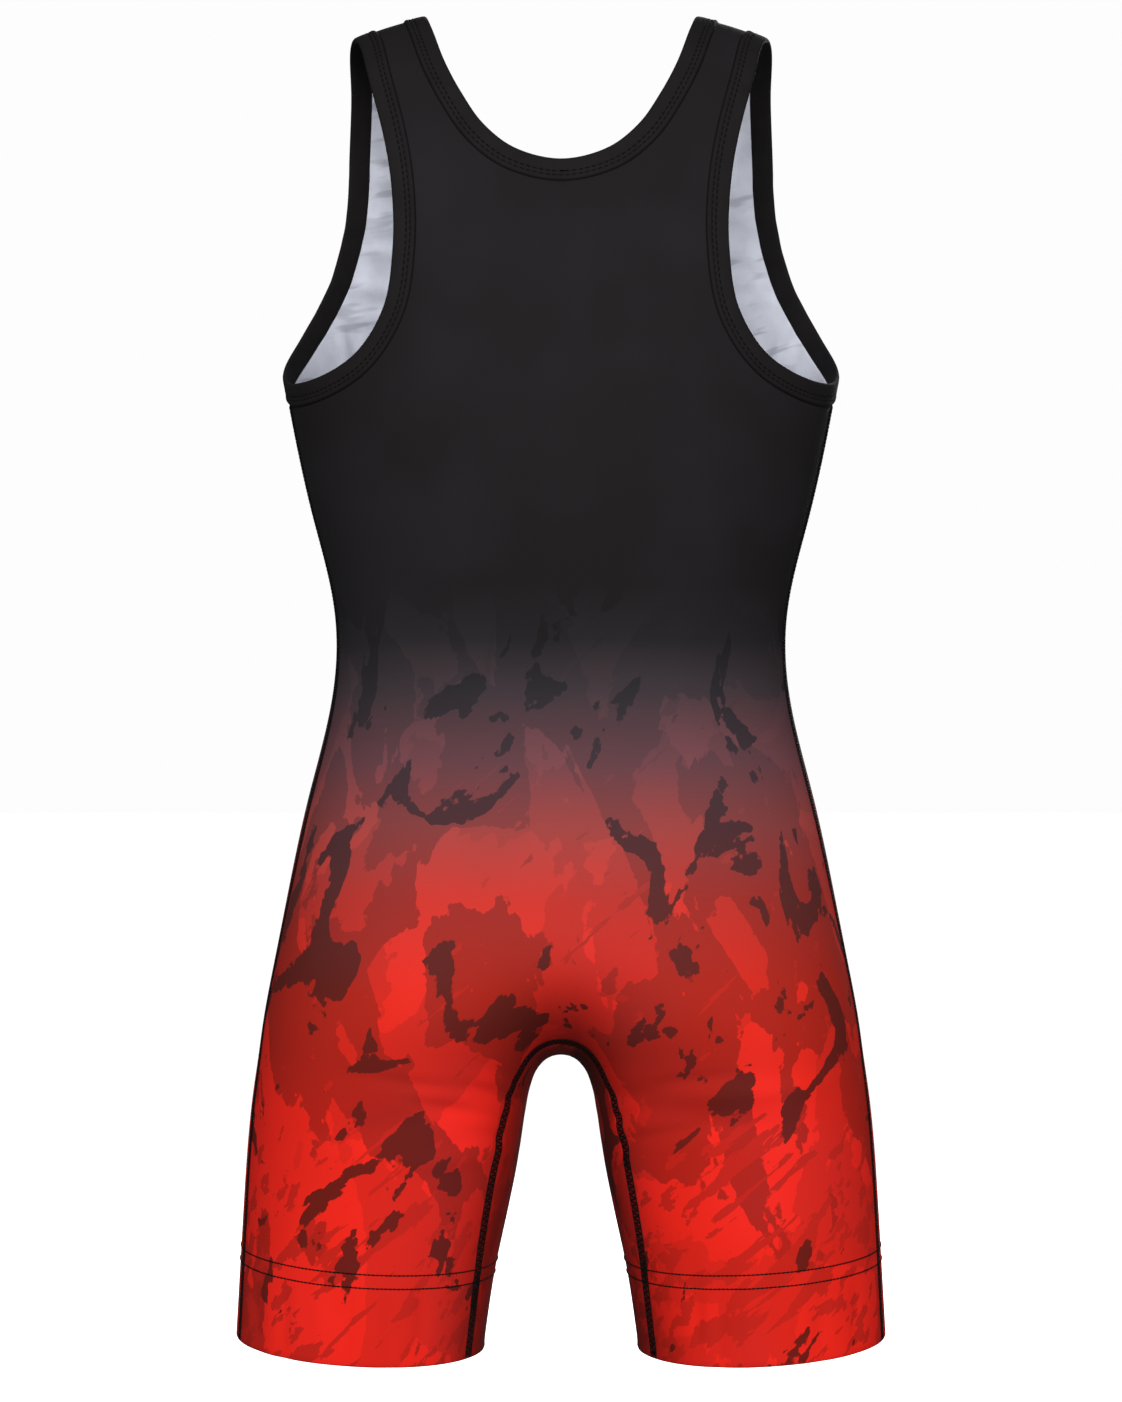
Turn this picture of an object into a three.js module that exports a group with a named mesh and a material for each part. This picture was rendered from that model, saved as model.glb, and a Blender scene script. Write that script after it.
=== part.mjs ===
// Wrestling singlet in stretch knit, hollow and filled out as when worn, with no wearer. Millimetres, +Z up.
// The origin lies midway between the two straps, at the height where the shoulders carry them.
// -Y is the garment's back, +Y its front and +X the wearer's right.
import * as THREE from "three";

// Cloth and seams.
const CLOTH = 1.6;
const HEM_CLOTH = 2.8;
const SEAM_GAP = 0.3;
const BAND_WIDTH = 15;
const BAND_CLOTH = 3;

// Heights of the cut.
const HEM_Z = -895;
const HEM_TILT = 5;
const HEM_DEPTH = 58;
const ARCH_Z = -736;
const CROTCH_Z = -702;
const SHOULDER_SEAM_Y = 8;

// The shoulders close the form with an elliptical cap above this height.
const CAP_BASE = -100;
const CAP_HEIGHT = 104.5;

// The worn form, one row for each level. half is half the whole width, spread is how far each leg's axis
// stands from the middle, back and front are depths along Y, square is the corner fullness of the section,
// and seat and groin are how far the cloth bridges between the legs behind and in front.
const FORM = [
  { at: "crest", z: 10, half: 205, spread: 0, back: -84, front: 84, square: 2.5, seat: 0, groin: 0 },
  { at: "collar bone", z: -60, half: 205, spread: 0, back: -85, front: 84, square: 2.5, seat: 0, groin: 0 },
  { at: "shoulder blade", z: -110, half: 204, spread: 0, back: -92, front: 90, square: 2.5, seat: 0, groin: 0 },
  { at: "chest", z: -170, half: 200, spread: 0, back: -104, front: 105, square: 2.45, seat: 0, groin: 0 },
  { at: "underarm", z: -230, half: 190, spread: 0, back: -111, front: 117, square: 2.4, seat: 0, groin: 0 },
  { at: "breast", z: -275, half: 181.6, spread: 0, back: -112, front: 120, square: 2.4, seat: 0, groin: 0 },
  { at: "ribs", z: -340, half: 167.4, spread: 0, back: -105, front: 114, square: 2.35, seat: 0, groin: 0 },
  { at: "waist top", z: -395, half: 154.6, spread: 0, back: -91, front: 104, square: 2.3, seat: 0, groin: 0 },
  { at: "waist", z: -430, half: 152.2, spread: 0, back: -84, front: 99, square: 2.3, seat: 0, groin: 0 },
  { at: "belt line", z: -475, half: 157.6, spread: 0, back: -83, front: 97, square: 2.3, seat: 0, groin: 0 },
  { at: "hip bone", z: -530, half: 171, spread: 8, back: -92, front: 98, square: 2.3, seat: 3, groin: 4 },
  { at: "hip", z: -585, half: 182.4, spread: 38, back: -108, front: 100, square: 2.25, seat: 12, groin: 24 },
  { at: "seat", z: -640, half: 192.8, spread: 76, back: -119, front: 101, square: 2.2, seat: 50, groin: 78 },
  { at: "seat fold", z: -680, half: 200.2, spread: 100, back: -115, front: 98, square: 2.15, seat: 62, groin: 80 },
  { at: "crotch", z: -702, half: 203.4, spread: 109.5, back: -108, front: 94, square: 2.1, seat: 66, groin: 66 },
  { at: "upper thigh", z: -726, half: 207, spread: 114.8, back: -102, front: 90, square: 2.1, seat: 62, groin: 62 },
  { at: "thigh", z: -767, half: 211.3, spread: 119.9, back: -97, front: 87, square: 2.05, seat: 60, groin: 60 },
  { at: "mid thigh", z: -808, half: 214, spread: 125.2, back: -94, front: 84, square: 2.05, seat: 60, groin: 60 },
  { at: "hem top", z: -848, half: 216.3, spread: 130.6, back: -91, front: 81, square: 2.05, seat: 60, groin: 60 },
  { at: "hem", z: -895, half: 219, spread: 135.5, back: -88, front: 78, square: 2.05, seat: 60, groin: 60 },
];

// Soft folds under the seat: middle of each trough, its half length and half width, its depth and its tilt.
const FOLDS = [
  { x: 92, z: -733, length: 62, width: 11, depth: 2.4, tilt: -7 },
  { x: 48, z: -722, length: 26, width: 9, depth: 1.4, tilt: 14 },
  { x: -60, z: -727, length: 34, width: 10, depth: 1.8, tilt: 5 },
  { x: -118, z: -741, length: 48, width: 12, depth: 1.6, tilt: 9 },
];

// How far the side seam stands behind the middle of the form's depth.
const SIDE_SEAM = [
  { z: -230, behind: 16 },
  { z: -430, behind: 18 },
  { z: -640, behind: 26 },
  { z: -895, behind: 28.5 },
];

// Free edge of the neck on the wearer's right, from the middle of the back over the shoulder to the middle front.
const NECK_EDGE = [
  { face: "back", x: 0, z: -113 },
  { face: "back", x: 30, z: -105.5 },
  { face: "back", x: 50.5, z: -89 },
  { face: "back", x: 64.5, z: -68 },
  { face: "back", x: 76, z: -45 },
  { face: "back", x: 85.5, z: -18 },
  { face: "top", x: 92, y: 0 },
  { face: "front", x: 92, z: -22 },
  { face: "front", x: 88, z: -70 },
  { face: "front", x: 78, z: -125 },
  { face: "front", x: 60, z: -175 },
  { face: "front", x: 33, z: -211 },
  { face: "front", x: 0, z: -224 },
];

// Free edge of the wearer's right armhole, from the shoulder down the back, under the arm and up the front.
const ARMHOLE_EDGE = [
  { face: "top", x: 142, y: 0 },
  { face: "back", x: 134, z: -28 },
  { face: "back", x: 125, z: -61 },
  { face: "back", x: 116, z: -95 },
  { face: "back", x: 110, z: -132 },
  { face: "back", x: 109, z: -170 },
  { face: "back", x: 115, z: -209 },
  { face: "back", x: 133, z: -237 },
  { face: "back", x: 160, z: -251 },
  { face: "side", y: -12, z: -248 },
  { face: "front", x: 180.5, z: -213 },
  { face: "front", x: 163.5, z: -175 },
  { face: "front", x: 152.5, z: -136 },
  { face: "front", x: 148.5, z: -95 },
  { face: "front", x: 145.5, z: -45 },
];

// Inner leg seam, behind the inner thigh, from the crotch to the hem.
const CROTCH_SEAM_SWING = 51;
const INSEAM = [
  { face: "back", x: 16, z: -692 },
  { face: "back", x: 28, z: -711.5 },
  { face: "back", x: 36, z: -733 },
  { face: "back", x: 43, z: -763 },
  { face: "back", x: 51.5, z: -811 },
  { face: "back", x: 58, z: -862 },
  { face: "back", x: 62, z: -899 },
];

// Rows of the cloth's grid between the heights above, and its columns from side seam to middle. Above the
// underarm each panel has a yoke up to the neck and a strap beside it; share is the yoke's part of the armhole.
const ROWS = { hem: 3, leg: 5, arch: 5, torso: 18 };
const UPPER = {
  back: { yoke: 8, strap: 10, share: 0.52 },
  front: { yoke: 4, strap: 16, share: 0.18 },
};
const COLUMNS = 13;
const SMOOTHING = 60;
const DENSE = 600;

// Cross-section of a binding: across runs from the seam to the free edge, out is a share of half its thickness.
const BAND_SECTION = [
  { across: 0, out: 0.75 },
  { across: 0.05, out: 1.12 },
  { across: 0.17, out: 1.12 },
  { across: 0.24, out: 0.9 },
  { across: 0.9, out: 1 },
  { across: 1, out: 0.5 },
  { across: 1, out: -0.5 },
  { across: 0.9, out: -1 },
  { across: 0, out: -0.9 },
];

// Natural cubic spline through one column of the form's table.
function splineOf(rows, key) {
  const sorted = [...rows].sort((a, b) => a.z - b.z);
  const last = sorted.length - 1;
  const step = (i) => sorted[i + 1].z - sorted[i].z;
  const slope = (i) => (sorted[i + 1][key] - sorted[i][key]) / step(i);
  const bend = new Array(last + 1).fill(0);
  const pivot = new Array(last + 1).fill(0);
  for (let i = 1; i < last; i++) {
    const scale = 2 * (step(i - 1) + step(i)) - step(i - 1) * pivot[i - 1];
    pivot[i] = step(i) / scale;
    bend[i] = (6 * (slope(i) - slope(i - 1)) - step(i - 1) * bend[i - 1]) / scale;
  }
  for (let i = last - 1; i > 0; i--) bend[i] -= pivot[i] * bend[i + 1];
  return (z) => {
    const at = Math.min(Math.max(z, sorted[0].z), sorted[last].z);
    let i = 0;
    while (i < last - 1 && sorted[i + 1].z < at) i++;
    const h = step(i);
    const below = (sorted[i + 1].z - at) / h;
    const above = 1 - below;
    const curve = (below ** 3 - below) * bend[i] + (above ** 3 - above) * bend[i + 1];
    return below * sorted[i][key] + above * sorted[i + 1][key] + (curve * h * h) / 6;
  };
}

const half = splineOf(FORM, "half");
const spread = (z) => Math.max(0, spreadColumn(z));
const spreadColumn = splineOf(FORM, "spread");
const back = splineOf(FORM, "back");
const front = splineOf(FORM, "front");
const square = splineOf(FORM, "square");
const seat = splineOf(FORM, "seat");
const groin = splineOf(FORM, "groin");
const seamBehind = splineOf(SIDE_SEAM, "behind");
const axisY = (z) => (back(z) + front(z)) / 2;

// How deep the folds press in at a point of the back.
function foldDepth(p) {
  if (p.z > -660 || p.z < -800 || p.y > 0) return 0;
  return FOLDS.reduce((depth, fold) => {
    const tilt = THREE.MathUtils.degToRad(fold.tilt);
    const along = (p.x - fold.x) * Math.cos(tilt) + (p.z - fold.z) * Math.sin(tilt);
    const across = (p.z - fold.z) * Math.cos(tilt) - (p.x - fold.x) * Math.sin(tilt);
    return depth + fold.depth * Math.exp(-((along / fold.length) ** 2) - (across / fold.width) ** 2);
  }, 0);
}

// Signed distance, roughly, from the worn form: below zero inside it. Two leg columns merge into the torso.
function field(p) {
  const offset = spread(p.z);
  const radius = half(p.z) - offset;
  const depth = (front(p.z) - back(p.z)) / 2;
  const across = (p.y - axisY(p.z)) / depth;
  const cap = Math.max(0, (p.z - CAP_BASE) / CAP_HEIGHT);
  const fullness = square(p.z);
  const column = (side) => {
    const u = Math.abs(p.x - side * offset) / radius;
    return (Math.sqrt(u ** fullness + across ** 2 + cap ** 2) - 1) * radius;
  };
  const a = column(1);
  const b = column(-1);
  const turn = THREE.MathUtils.smoothstep(across, -0.7, 0.7);
  const bridge = Math.max(1e-6, seat(p.z) + (groin(p.z) - seat(p.z)) * turn);
  const near = Math.max(bridge - Math.abs(a - b), 0) / bridge;
  return Math.min(a, b) - (near * near * bridge) / 4 + foldDepth(p);
}

function gradient(p) {
  const step = 0.05;
  const slope = new THREE.Vector3();
  for (const axis of ["x", "y", "z"]) {
    const ahead = p.clone();
    const behind = p.clone();
    ahead[axis] += step;
    behind[axis] -= step;
    slope[axis] = (field(ahead) - field(behind)) / (2 * step);
  }
  return slope;
}

const normalAt = (p) => gradient(p).normalize();

// Moves a point that is near the form onto it.
function settle(p, steps = 6) {
  const q = p.clone();
  for (let i = 0; i < steps; i++) {
    const slope = gradient(q);
    q.addScaledVector(slope, -field(q) / Math.max(slope.lengthSq(), 1e-6));
  }
  return q;
}

// Where a ray from inside the form leaves it.
function cast(from, direction) {
  let inside = 0;
  let outside = 4;
  const at = (distance) => from.clone().addScaledVector(direction, distance);
  while (field(at(outside)) < 0 && outside < 400) outside += 4;
  inside = outside - 4;
  for (let i = 0; i < 40; i++) {
    const middle = (inside + outside) / 2;
    if (field(at(middle)) < 0) inside = middle;
    else outside = middle;
  }
  return at(inside);
}

const V = (x, y, z) => new THREE.Vector3(x, y, z);
const mirrored = (p) => V(-p.x, p.y, p.z);

// A table row of an edge becomes a point on the form.
function onForm({ face, x, y, z }) {
  if (face === "top") return cast(V(x, y, CAP_BASE), V(0, 0, 1));
  if (face === "side") return cast(V(spread(z), y, z), V(1, 0, 0));
  return cast(V(x, axisY(z), z), V(0, face === "back" ? -1 : 1, 0));
}

function denseCurve(points, closed, share = 1) {
  const curve = new THREE.CatmullRomCurve3(points, closed, "centripetal");
  return Array.from({ length: DENSE + 1 }, (_, i) => settle(curve.getPoint((share * i) / DENSE)));
}

// Moves a line sideways over the form. Positive is to the right of its direction, seen from outside.
function offsetLine(points, distance, closed) {
  const n = points.length;
  const at = (i) => (closed ? points[(i + n - 1) % (n - 1)] : points[Math.min(Math.max(i, 0), n - 1)]);
  return points.map((p, i) => {
    const along = at(i + 1).clone().sub(at(i - 1));
    const sideways = along.cross(normalAt(p)).normalize();
    const halfway = settle(p.clone().addScaledVector(sideways, distance / 2));
    return settle(halfway.addScaledVector(sideways, distance / 2));
  });
}

// Points evenly spaced along a line, or beside them on a companion line with the same numbering.
function resample(points, count, companion = points) {
  const reach = [0];
  for (let i = 1; i < points.length; i++) reach.push(reach[i - 1] + points[i].distanceTo(points[i - 1]));
  const total = reach[reach.length - 1];
  let k = 0;
  return Array.from({ length: count + 1 }, (_, i) => {
    const target = (total * i) / count;
    while (k < points.length - 2 && reach[k + 1] < target) k++;
    const share = (target - reach[k]) / Math.max(reach[k + 1] - reach[k], 1e-9);
    return settle(companion[k].clone().lerp(companion[k + 1], Math.min(Math.max(share, 0), 1)));
  });
}

const nearestIndex = (points, measure) =>
  points.reduce((best, p, i) => (measure(p) < measure(points[best]) ? i : best), 0);

// Joins runs of points end to end, where each starts at the last point of the one before.
const joinRuns = (runs) => runs.flatMap((run, i) => run.slice(i ? 1 : 0));

// The neck's half loop and the armhole's loop, each as free edge and seam line.
const neckHalf = NECK_EDGE.map(onForm);
const neckLoop = [...neckHalf, ...neckHalf.slice(1, -1).reverse().map(mirrored)];
const neckFree = denseCurve(neckLoop, true, 0.5);
const neckSeam = offsetLine(neckFree, BAND_WIDTH, false);
neckSeam[0].x = 0;
neckSeam[DENSE].x = 0;
const armholeFree = denseCurve(ARMHOLE_EDGE.map(onForm), true);
const armholeSeam = offsetLine(armholeFree, BAND_WIDTH, true);

// Where the shoulder seam and the side seam meet those lines.
const sideY = (z) => axisY(z) - seamBehind(z);
const neckShoulder = nearestIndex(neckSeam, (p) => Math.abs(p.y - SHOULDER_SEAM_Y) + (p.z < -60 ? 1e3 : 0));
const armShoulder = nearestIndex(armholeSeam, (p) => Math.abs(p.y - SHOULDER_SEAM_Y) + (p.z < -60 ? 1e3 : 0));
const armSide = nearestIndex(armholeSeam, (p) => Math.abs(p.y - sideY(p.z)) + (p.z > -240 ? 1e3 : 0));
const underarm = armholeSeam[armSide];

// The stretch of a line round the armhole that belongs to a panel, from the underarm up to the shoulder.
function armholeRun(face, line) {
  if (face === "front") return line.slice(armSide, armShoulder + 1);
  return [...line.slice(armShoulder, DENSE), ...line.slice(0, armSide + 1)].reverse();
}

// The same for the neck, from the middle up to the shoulder.
const neckRun = (face, line) =>
  face === "back" ? line.slice(0, neckShoulder + 1) : line.slice(neckShoulder).reverse();

// Stations along those stretches, spaced by the seam line whichever line is asked for.
function armholeStations(face, line = armholeSeam) {
  const measured = armholeRun(face, armholeSeam);
  const wanted = armholeRun(face, line);
  const { yoke, strap, share } = UPPER[face];
  const split = Math.round(measured.length * share);
  return joinRuns([
    resample(measured.slice(0, split + 1), yoke, wanted.slice(0, split + 1)),
    resample(measured.slice(split), strap, wanted.slice(split)),
  ]);
}

const neckStations = (face, line = neckSeam) =>
  resample(neckRun(face, neckSeam), UPPER[face].strap, neckRun(face, line));

// Seams of the body.
function sideSeam(fromZ, toZ) {
  return Array.from({ length: DENSE + 1 }, (_, i) => {
    const z = THREE.MathUtils.lerp(fromZ, toZ, i / DENSE);
    return onForm({ face: "side", y: sideY(z), z });
  });
}

const CENTRE = V(0, axisY(-650), -650);
const crotchRay = (degrees) => {
  const angle = THREE.MathUtils.degToRad(degrees);
  return cast(CENTRE, V(0, -Math.sin(angle), -Math.cos(angle)));
};
const crossing = crotchRay(CROTCH_SEAM_SWING);

// The middle line of a panel from the crotch seam up to the neck.
function middleLine(face, topZ) {
  const swing = face === "back" ? 90 : -90;
  const under = Array.from({ length: DENSE + 1 }, (_, i) =>
    crotchRay(THREE.MathUtils.lerp(CROTCH_SEAM_SWING, swing, i / DENSE)));
  const rise = Array.from({ length: DENSE + 1 }, (_, i) =>
    onForm({ face, x: 0, z: THREE.MathUtils.lerp(CENTRE.z, topZ, i / DENSE) }));
  return [...under, ...rise.slice(1)];
}

const inseam = denseCurve(
  [...INSEAM.map(onForm).reverse(), crossing, ...INSEAM.slice(0, 2).map(onForm).map(mirrored)],
  false,
  INSEAM.length / (INSEAM.length + 2),
);
inseam[DENSE] = crossing.clone();

// Splits a line where it passes a height.
function splitAt(points, z) {
  const i = nearestIndex(points, (p) => Math.abs(p.z - z));
  return [points.slice(0, i + 1), points.slice(i)];
}

// The grid of one half of a panel: rows from hem to shoulder, columns from side seam to middle.
function halfPanel(face) {
  const { yoke } = UPPER[face];
  const [hemSide, aboveHem] = splitAt(sideSeam(HEM_Z + HEM_TILT, underarm.z), HEM_Z + HEM_TILT + HEM_DEPTH);
  const [legSide, aboveLeg] = splitAt(aboveHem, ARCH_Z);
  const [archSide, torsoSide] = splitAt(aboveLeg, CROTCH_Z);
  const [hemInner, aboveInner] = splitAt(inseam, inseam[0].z + HEM_DEPTH);
  const [legInner, archInner] = splitAt(aboveInner, ARCH_Z);
  const neck = neckStations(face);
  const middle = middleLine(face, neck[0].z);
  const chest = nearestIndex(middle, (p) => Math.abs(p.z - underarm.z));
  const outer = joinRuns([
    resample(hemSide, ROWS.hem),
    resample(legSide, ROWS.leg),
    resample(archSide, ROWS.arch),
    resample(torsoSide, ROWS.torso),
    armholeStations(face),
  ]);
  const inner = joinRuns([
    resample(hemInner, ROWS.hem),
    resample(legInner, ROWS.leg),
    resample(archInner, ROWS.arch),
    resample(middle.slice(0, chest + 1), ROWS.torso),
    resample(middle.slice(chest), yoke),
    neck,
  ]);
  const crotchRow = ROWS.hem + ROWS.leg + ROWS.arch;
  const neckRow = crotchRow + ROWS.torso + yoke;
  const grid = outer.map((left, i) => rowBetween(left, inner[i], { face, isHem: i <= ROWS.hem, isStrap: i > neckRow }));
  for (let i = crotchRow; i <= neckRow; i++) grid[i][COLUMNS].x = 0;
  smoothGrid(grid);
  return { grid, crotchRow, neckRow };
}

// One row over the form, turning about the leg's or torso's axis, or straight across a strap. The hem's rows
// dip towards the inside of the leg.
function rowBetween(left, right, { face, isHem, isStrap }) {
  const turnOf = (p) => Math.atan2(p.y - axisY(p.z), p.x - spread(p.z));
  const start = turnOf(left);
  const whole = face === "back" ? -2 * Math.PI : 2 * Math.PI;
  const end = turnOf(right) * whole < 0 ? turnOf(right) + whole : turnOf(right);
  const dip = (turn) => Math.cos(start) - Math.cos(turn);
  return Array.from({ length: COLUMNS + 1 }, (_, j) => {
    if (j === 0) return left.clone();
    if (j === COLUMNS) return right.clone();
    const share = j / COLUMNS;
    if (isStrap) return settle(left.clone().lerp(right, share));
    const turn = THREE.MathUtils.lerp(start, end, share);
    const z = THREE.MathUtils.lerp(left.z, right.z, isHem ? dip(turn) / dip(end) : share);
    const p = cast(V(spread(z), axisY(z), z), V(Math.cos(turn), Math.sin(turn), 0));
    p.x = Math.max(p.x, 1 - share);
    return settle(p);
  });
}

// Evens out the inside of a grid on the form. Each point is balanced by the lengths of its row and column,
// which keeps rows and columns from folding over where an edge is hollow.
function smoothGrid(grid) {
  for (let pass = 0; pass < SMOOTHING; pass++) {
    for (let i = ROWS.hem + 1; i < grid.length - 1; i++) {
      const [below, here, above] = [grid[i - 1], grid[i], grid[i + 1]];
      for (let j = 1; j < COLUMNS; j++) {
        const along = here[j + 1].clone().sub(here[j - 1]);
        const up = above[j].clone().sub(below[j]);
        const [rowWeight, columnWeight] = [up.lengthSq(), along.lengthSq()];
        const shear = above[j + 1].clone().sub(above[j - 1]).sub(below[j + 1]).add(below[j - 1]);
        const sum = here[j + 1].clone().add(here[j - 1]).multiplyScalar(rowWeight);
        sum.addScaledVector(above[j].clone().add(below[j]), columnWeight);
        sum.addScaledVector(shear, -along.dot(up) / 2);
        here[j] = settle(sum.multiplyScalar(0.5 / (rowWeight + columnWeight)), 2);
      }
    }
  }
}

// Draws a panel's sewn edges back by half the seam gap.
function drawBack({ grid, crotchRow, neckRow }, isBack) {
  const moves = [];
  const turn = isBack ? 1 : -1;
  const push = (i, j, before, after, sign) => {
    const sideways = after.clone().sub(before).cross(normalAt(grid[i][j])).normalize();
    moves.push({ i, j, by: sideways.multiplyScalar((sign * turn * SEAM_GAP) / 2) });
  };
  const top = grid.length - 1;
  for (let i = 0; i <= top; i++) {
    push(i, 0, grid[Math.max(i - 1, 0)][0], grid[Math.min(i + 1, top)][0], -1);
    if (i > crotchRow && i < neckRow) continue;
    const below = i === neckRow ? mirrored(grid[i + 1][COLUMNS]) : grid[Math.max(i - 1, 0)][COLUMNS];
    const above = i === crotchRow ? mirrored(grid[i - 1][COLUMNS]) : grid[Math.min(i + 1, top)][COLUMNS];
    push(i, COLUMNS, below, above, 1);
  }
  for (let j = 0; j <= COLUMNS; j++) {
    push(top, j, grid[top][Math.max(j - 1, 0)], grid[top][Math.min(j + 1, COLUMNS)], -1);
  }
  for (const { i, j, by } of moves) grid[i][j].add(by);
}

// A wall of cloth through a surface's points: outer face, inner face and the rim along every open edge.
function clothWall(points, triangles, inward) {
  const normals = points.map((p) => normalAt(p));
  const n = points.length;
  const position = new Float32Array(n * 6);
  points.forEach((p, i) => {
    p.clone().addScaledVector(normals[i], CLOTH / 2).toArray(position, i * 3);
    p.clone().addScaledVector(normals[i], -inward[i]).toArray(position, (n + i) * 3);
  });
  const directed = new Set(triangles.flatMap(([a, b, c]) => [`${a}>${b}`, `${b}>${c}`, `${c}>${a}`]));
  const index = [];
  for (const [a, b, c] of triangles) {
    index.push(a, b, c, n + a, n + c, n + b);
    for (const [from, to] of [[a, b], [b, c], [c, a]]) {
      if (!directed.has(`${to}>${from}`)) index.push(from, n + from, to, to, n + from, n + to);
    }
  }
  return new THREE.BufferGeometry()
    .setAttribute("position", new THREE.BufferAttribute(position, 3))
    .setIndex(index);
}

// A front or back panel: both mirrored halves, sharing the points of the middle line.
function panelGeometry(face) {
  const isBack = face === "back";
  const cut = halfPanel(face);
  drawBack(cut, isBack);
  const { grid, crotchRow, neckRow } = cut;
  const points = [];
  const inward = [];
  const ids = new Map();
  const idOf = (side, i, j) => {
    const shared = j === COLUMNS && i >= crotchRow && i <= neckRow;
    const key = `${shared ? 0 : side},${i},${j}`;
    if (!ids.has(key)) {
      const p = grid[i][j];
      if (shared) p.x = 0;
      ids.set(key, points.push(side > 0 ? p.clone() : settle(mirrored(p))) - 1);
      inward.push((i <= ROWS.hem ? HEM_CLOTH : CLOTH) - CLOTH / 2);
    }
    return ids.get(key);
  };
  const triangles = [];
  for (const side of [1, -1]) {
    for (let i = 0; i < grid.length - 1; i++) {
      for (let j = 0; j < COLUMNS; j++) {
        const [a, b, c, d] = [idOf(side, i, j), idOf(side, i, j + 1), idOf(side, i + 1, j + 1), idOf(side, i + 1, j)];
        const facing = side * (isBack ? 1 : -1) > 0;
        triangles.push(...(facing ? [[a, c, b], [a, d, c]] : [[a, b, c], [a, c, d]]));
      }
    }
  }
  return clothWall(points, triangles, inward);
}

// A binding: its section swept round a closed opening, between the seam line and the free edge.
function bandGeometry(seam, free, side) {
  const ring = BAND_SECTION.length;
  const stations = seam.length;
  const place = (p) => (side > 0 ? p : mirrored(p));
  const position = new Float32Array(stations * ring * 3);
  seam.forEach((edge, i) => {
    const start = edge.clone().lerp(free[i], SEAM_GAP / 2 / BAND_WIDTH);
    BAND_SECTION.forEach((row, k) => {
      const out = normalAt(edge).lerp(normalAt(free[i]), row.across).normalize();
      const p = start.clone().lerp(free[i], row.across).addScaledVector(out, (row.out * BAND_CLOTH) / 2);
      place(p).toArray(position, (i * ring + k) * 3);
    });
  });
  const index = [];
  for (let i = 0; i < stations; i++) {
    for (let k = 0; k < ring; k++) {
      const next = ((i + 1) % stations) * ring;
      const [a, b, c, d] = [i * ring + k, i * ring + ((k + 1) % ring), next + ((k + 1) % ring), next + k];
      index.push(...(side > 0 ? [a, c, b, a, d, c] : [a, b, c, a, c, d]));
    }
  }
  return new THREE.BufferGeometry()
    .setAttribute("position", new THREE.BufferAttribute(position, 3))
    .setIndex(index);
}

// Stations of a whole opening, in order round it.
const armholeRing = (line) =>
  joinRuns([armholeStations("front", line), armholeStations("back", line).reverse()]).slice(0, -1);

function neckRing(line) {
  const right = joinRuns([neckStations("back", line), neckStations("front", line).reverse()]);
  right[0].x = 0;
  right[right.length - 1].x = 0;
  return [...right, ...right.slice(1, -1).reverse().map(mirrored)];
}

const armholeBand = (side) => bandGeometry(armholeRing(armholeSeam), armholeRing(armholeFree), side);

const SOLIDS = [
  { name: "back_panel", shape: panelGeometry("back"), colour: 0x7a1c22 },
  { name: "front_panel", shape: panelGeometry("front"), colour: 0x7a1c22 },
  { name: "neck_binding", shape: bandGeometry(neckRing(neckSeam), neckRing(neckFree), 1), colour: 0x18171a },
  { name: "armhole_binding_right", shape: armholeBand(1), colour: 0x18171a },
  { name: "armhole_binding_left", shape: armholeBand(-1), colour: 0x18171a },
];

const singlet = new THREE.Group();
for (const { name, shape, colour } of SOLIDS) {
  const mesh = new THREE.Mesh(shape, new THREE.MeshStandardMaterial({ color: colour, roughness: 0.75 }));
  mesh.name = name;
  singlet.add(mesh);
}
export default singlet;
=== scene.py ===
"""A wrestling singlet in stretch knit, filled out as when worn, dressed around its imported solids.

The printed cloth is one thin sheet for each panel, really turned up at the hems. Bindings, flatlock seams
and rows of stitching are laid on it. Shapes are worked out in millimetres and placed in metres, +Z up, with
the garment's back towards -Y and the wearer's right towards +X.
"""

import math

import bmesh
import bpy
import numpy as np
from bpy.props import FloatProperty, FloatVectorProperty, PointerProperty
from mathutils import Matrix, Vector


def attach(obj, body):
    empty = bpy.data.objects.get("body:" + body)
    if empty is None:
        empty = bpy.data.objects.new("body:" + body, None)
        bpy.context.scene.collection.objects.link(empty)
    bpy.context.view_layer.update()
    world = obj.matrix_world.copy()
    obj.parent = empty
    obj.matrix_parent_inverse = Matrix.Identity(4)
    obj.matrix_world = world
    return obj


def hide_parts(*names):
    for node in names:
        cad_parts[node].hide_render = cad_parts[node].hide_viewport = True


bl_info = {
    "name": "Wrestling singlet",
    "version": (1, 0, 0),
    "blender": (4, 5, 0),
    "location": "3D View > Sidebar > Singlet",
    "description": "Cloth, bindings, seams and stitching of a wrestling singlet",
    "category": "Object",
}

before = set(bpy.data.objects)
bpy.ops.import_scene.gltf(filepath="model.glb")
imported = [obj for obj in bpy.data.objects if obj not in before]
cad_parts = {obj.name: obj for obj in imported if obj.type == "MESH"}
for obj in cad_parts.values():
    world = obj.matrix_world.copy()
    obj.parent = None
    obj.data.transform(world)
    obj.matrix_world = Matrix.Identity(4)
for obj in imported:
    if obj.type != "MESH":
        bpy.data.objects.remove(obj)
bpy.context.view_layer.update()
MM = 0.001

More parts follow.
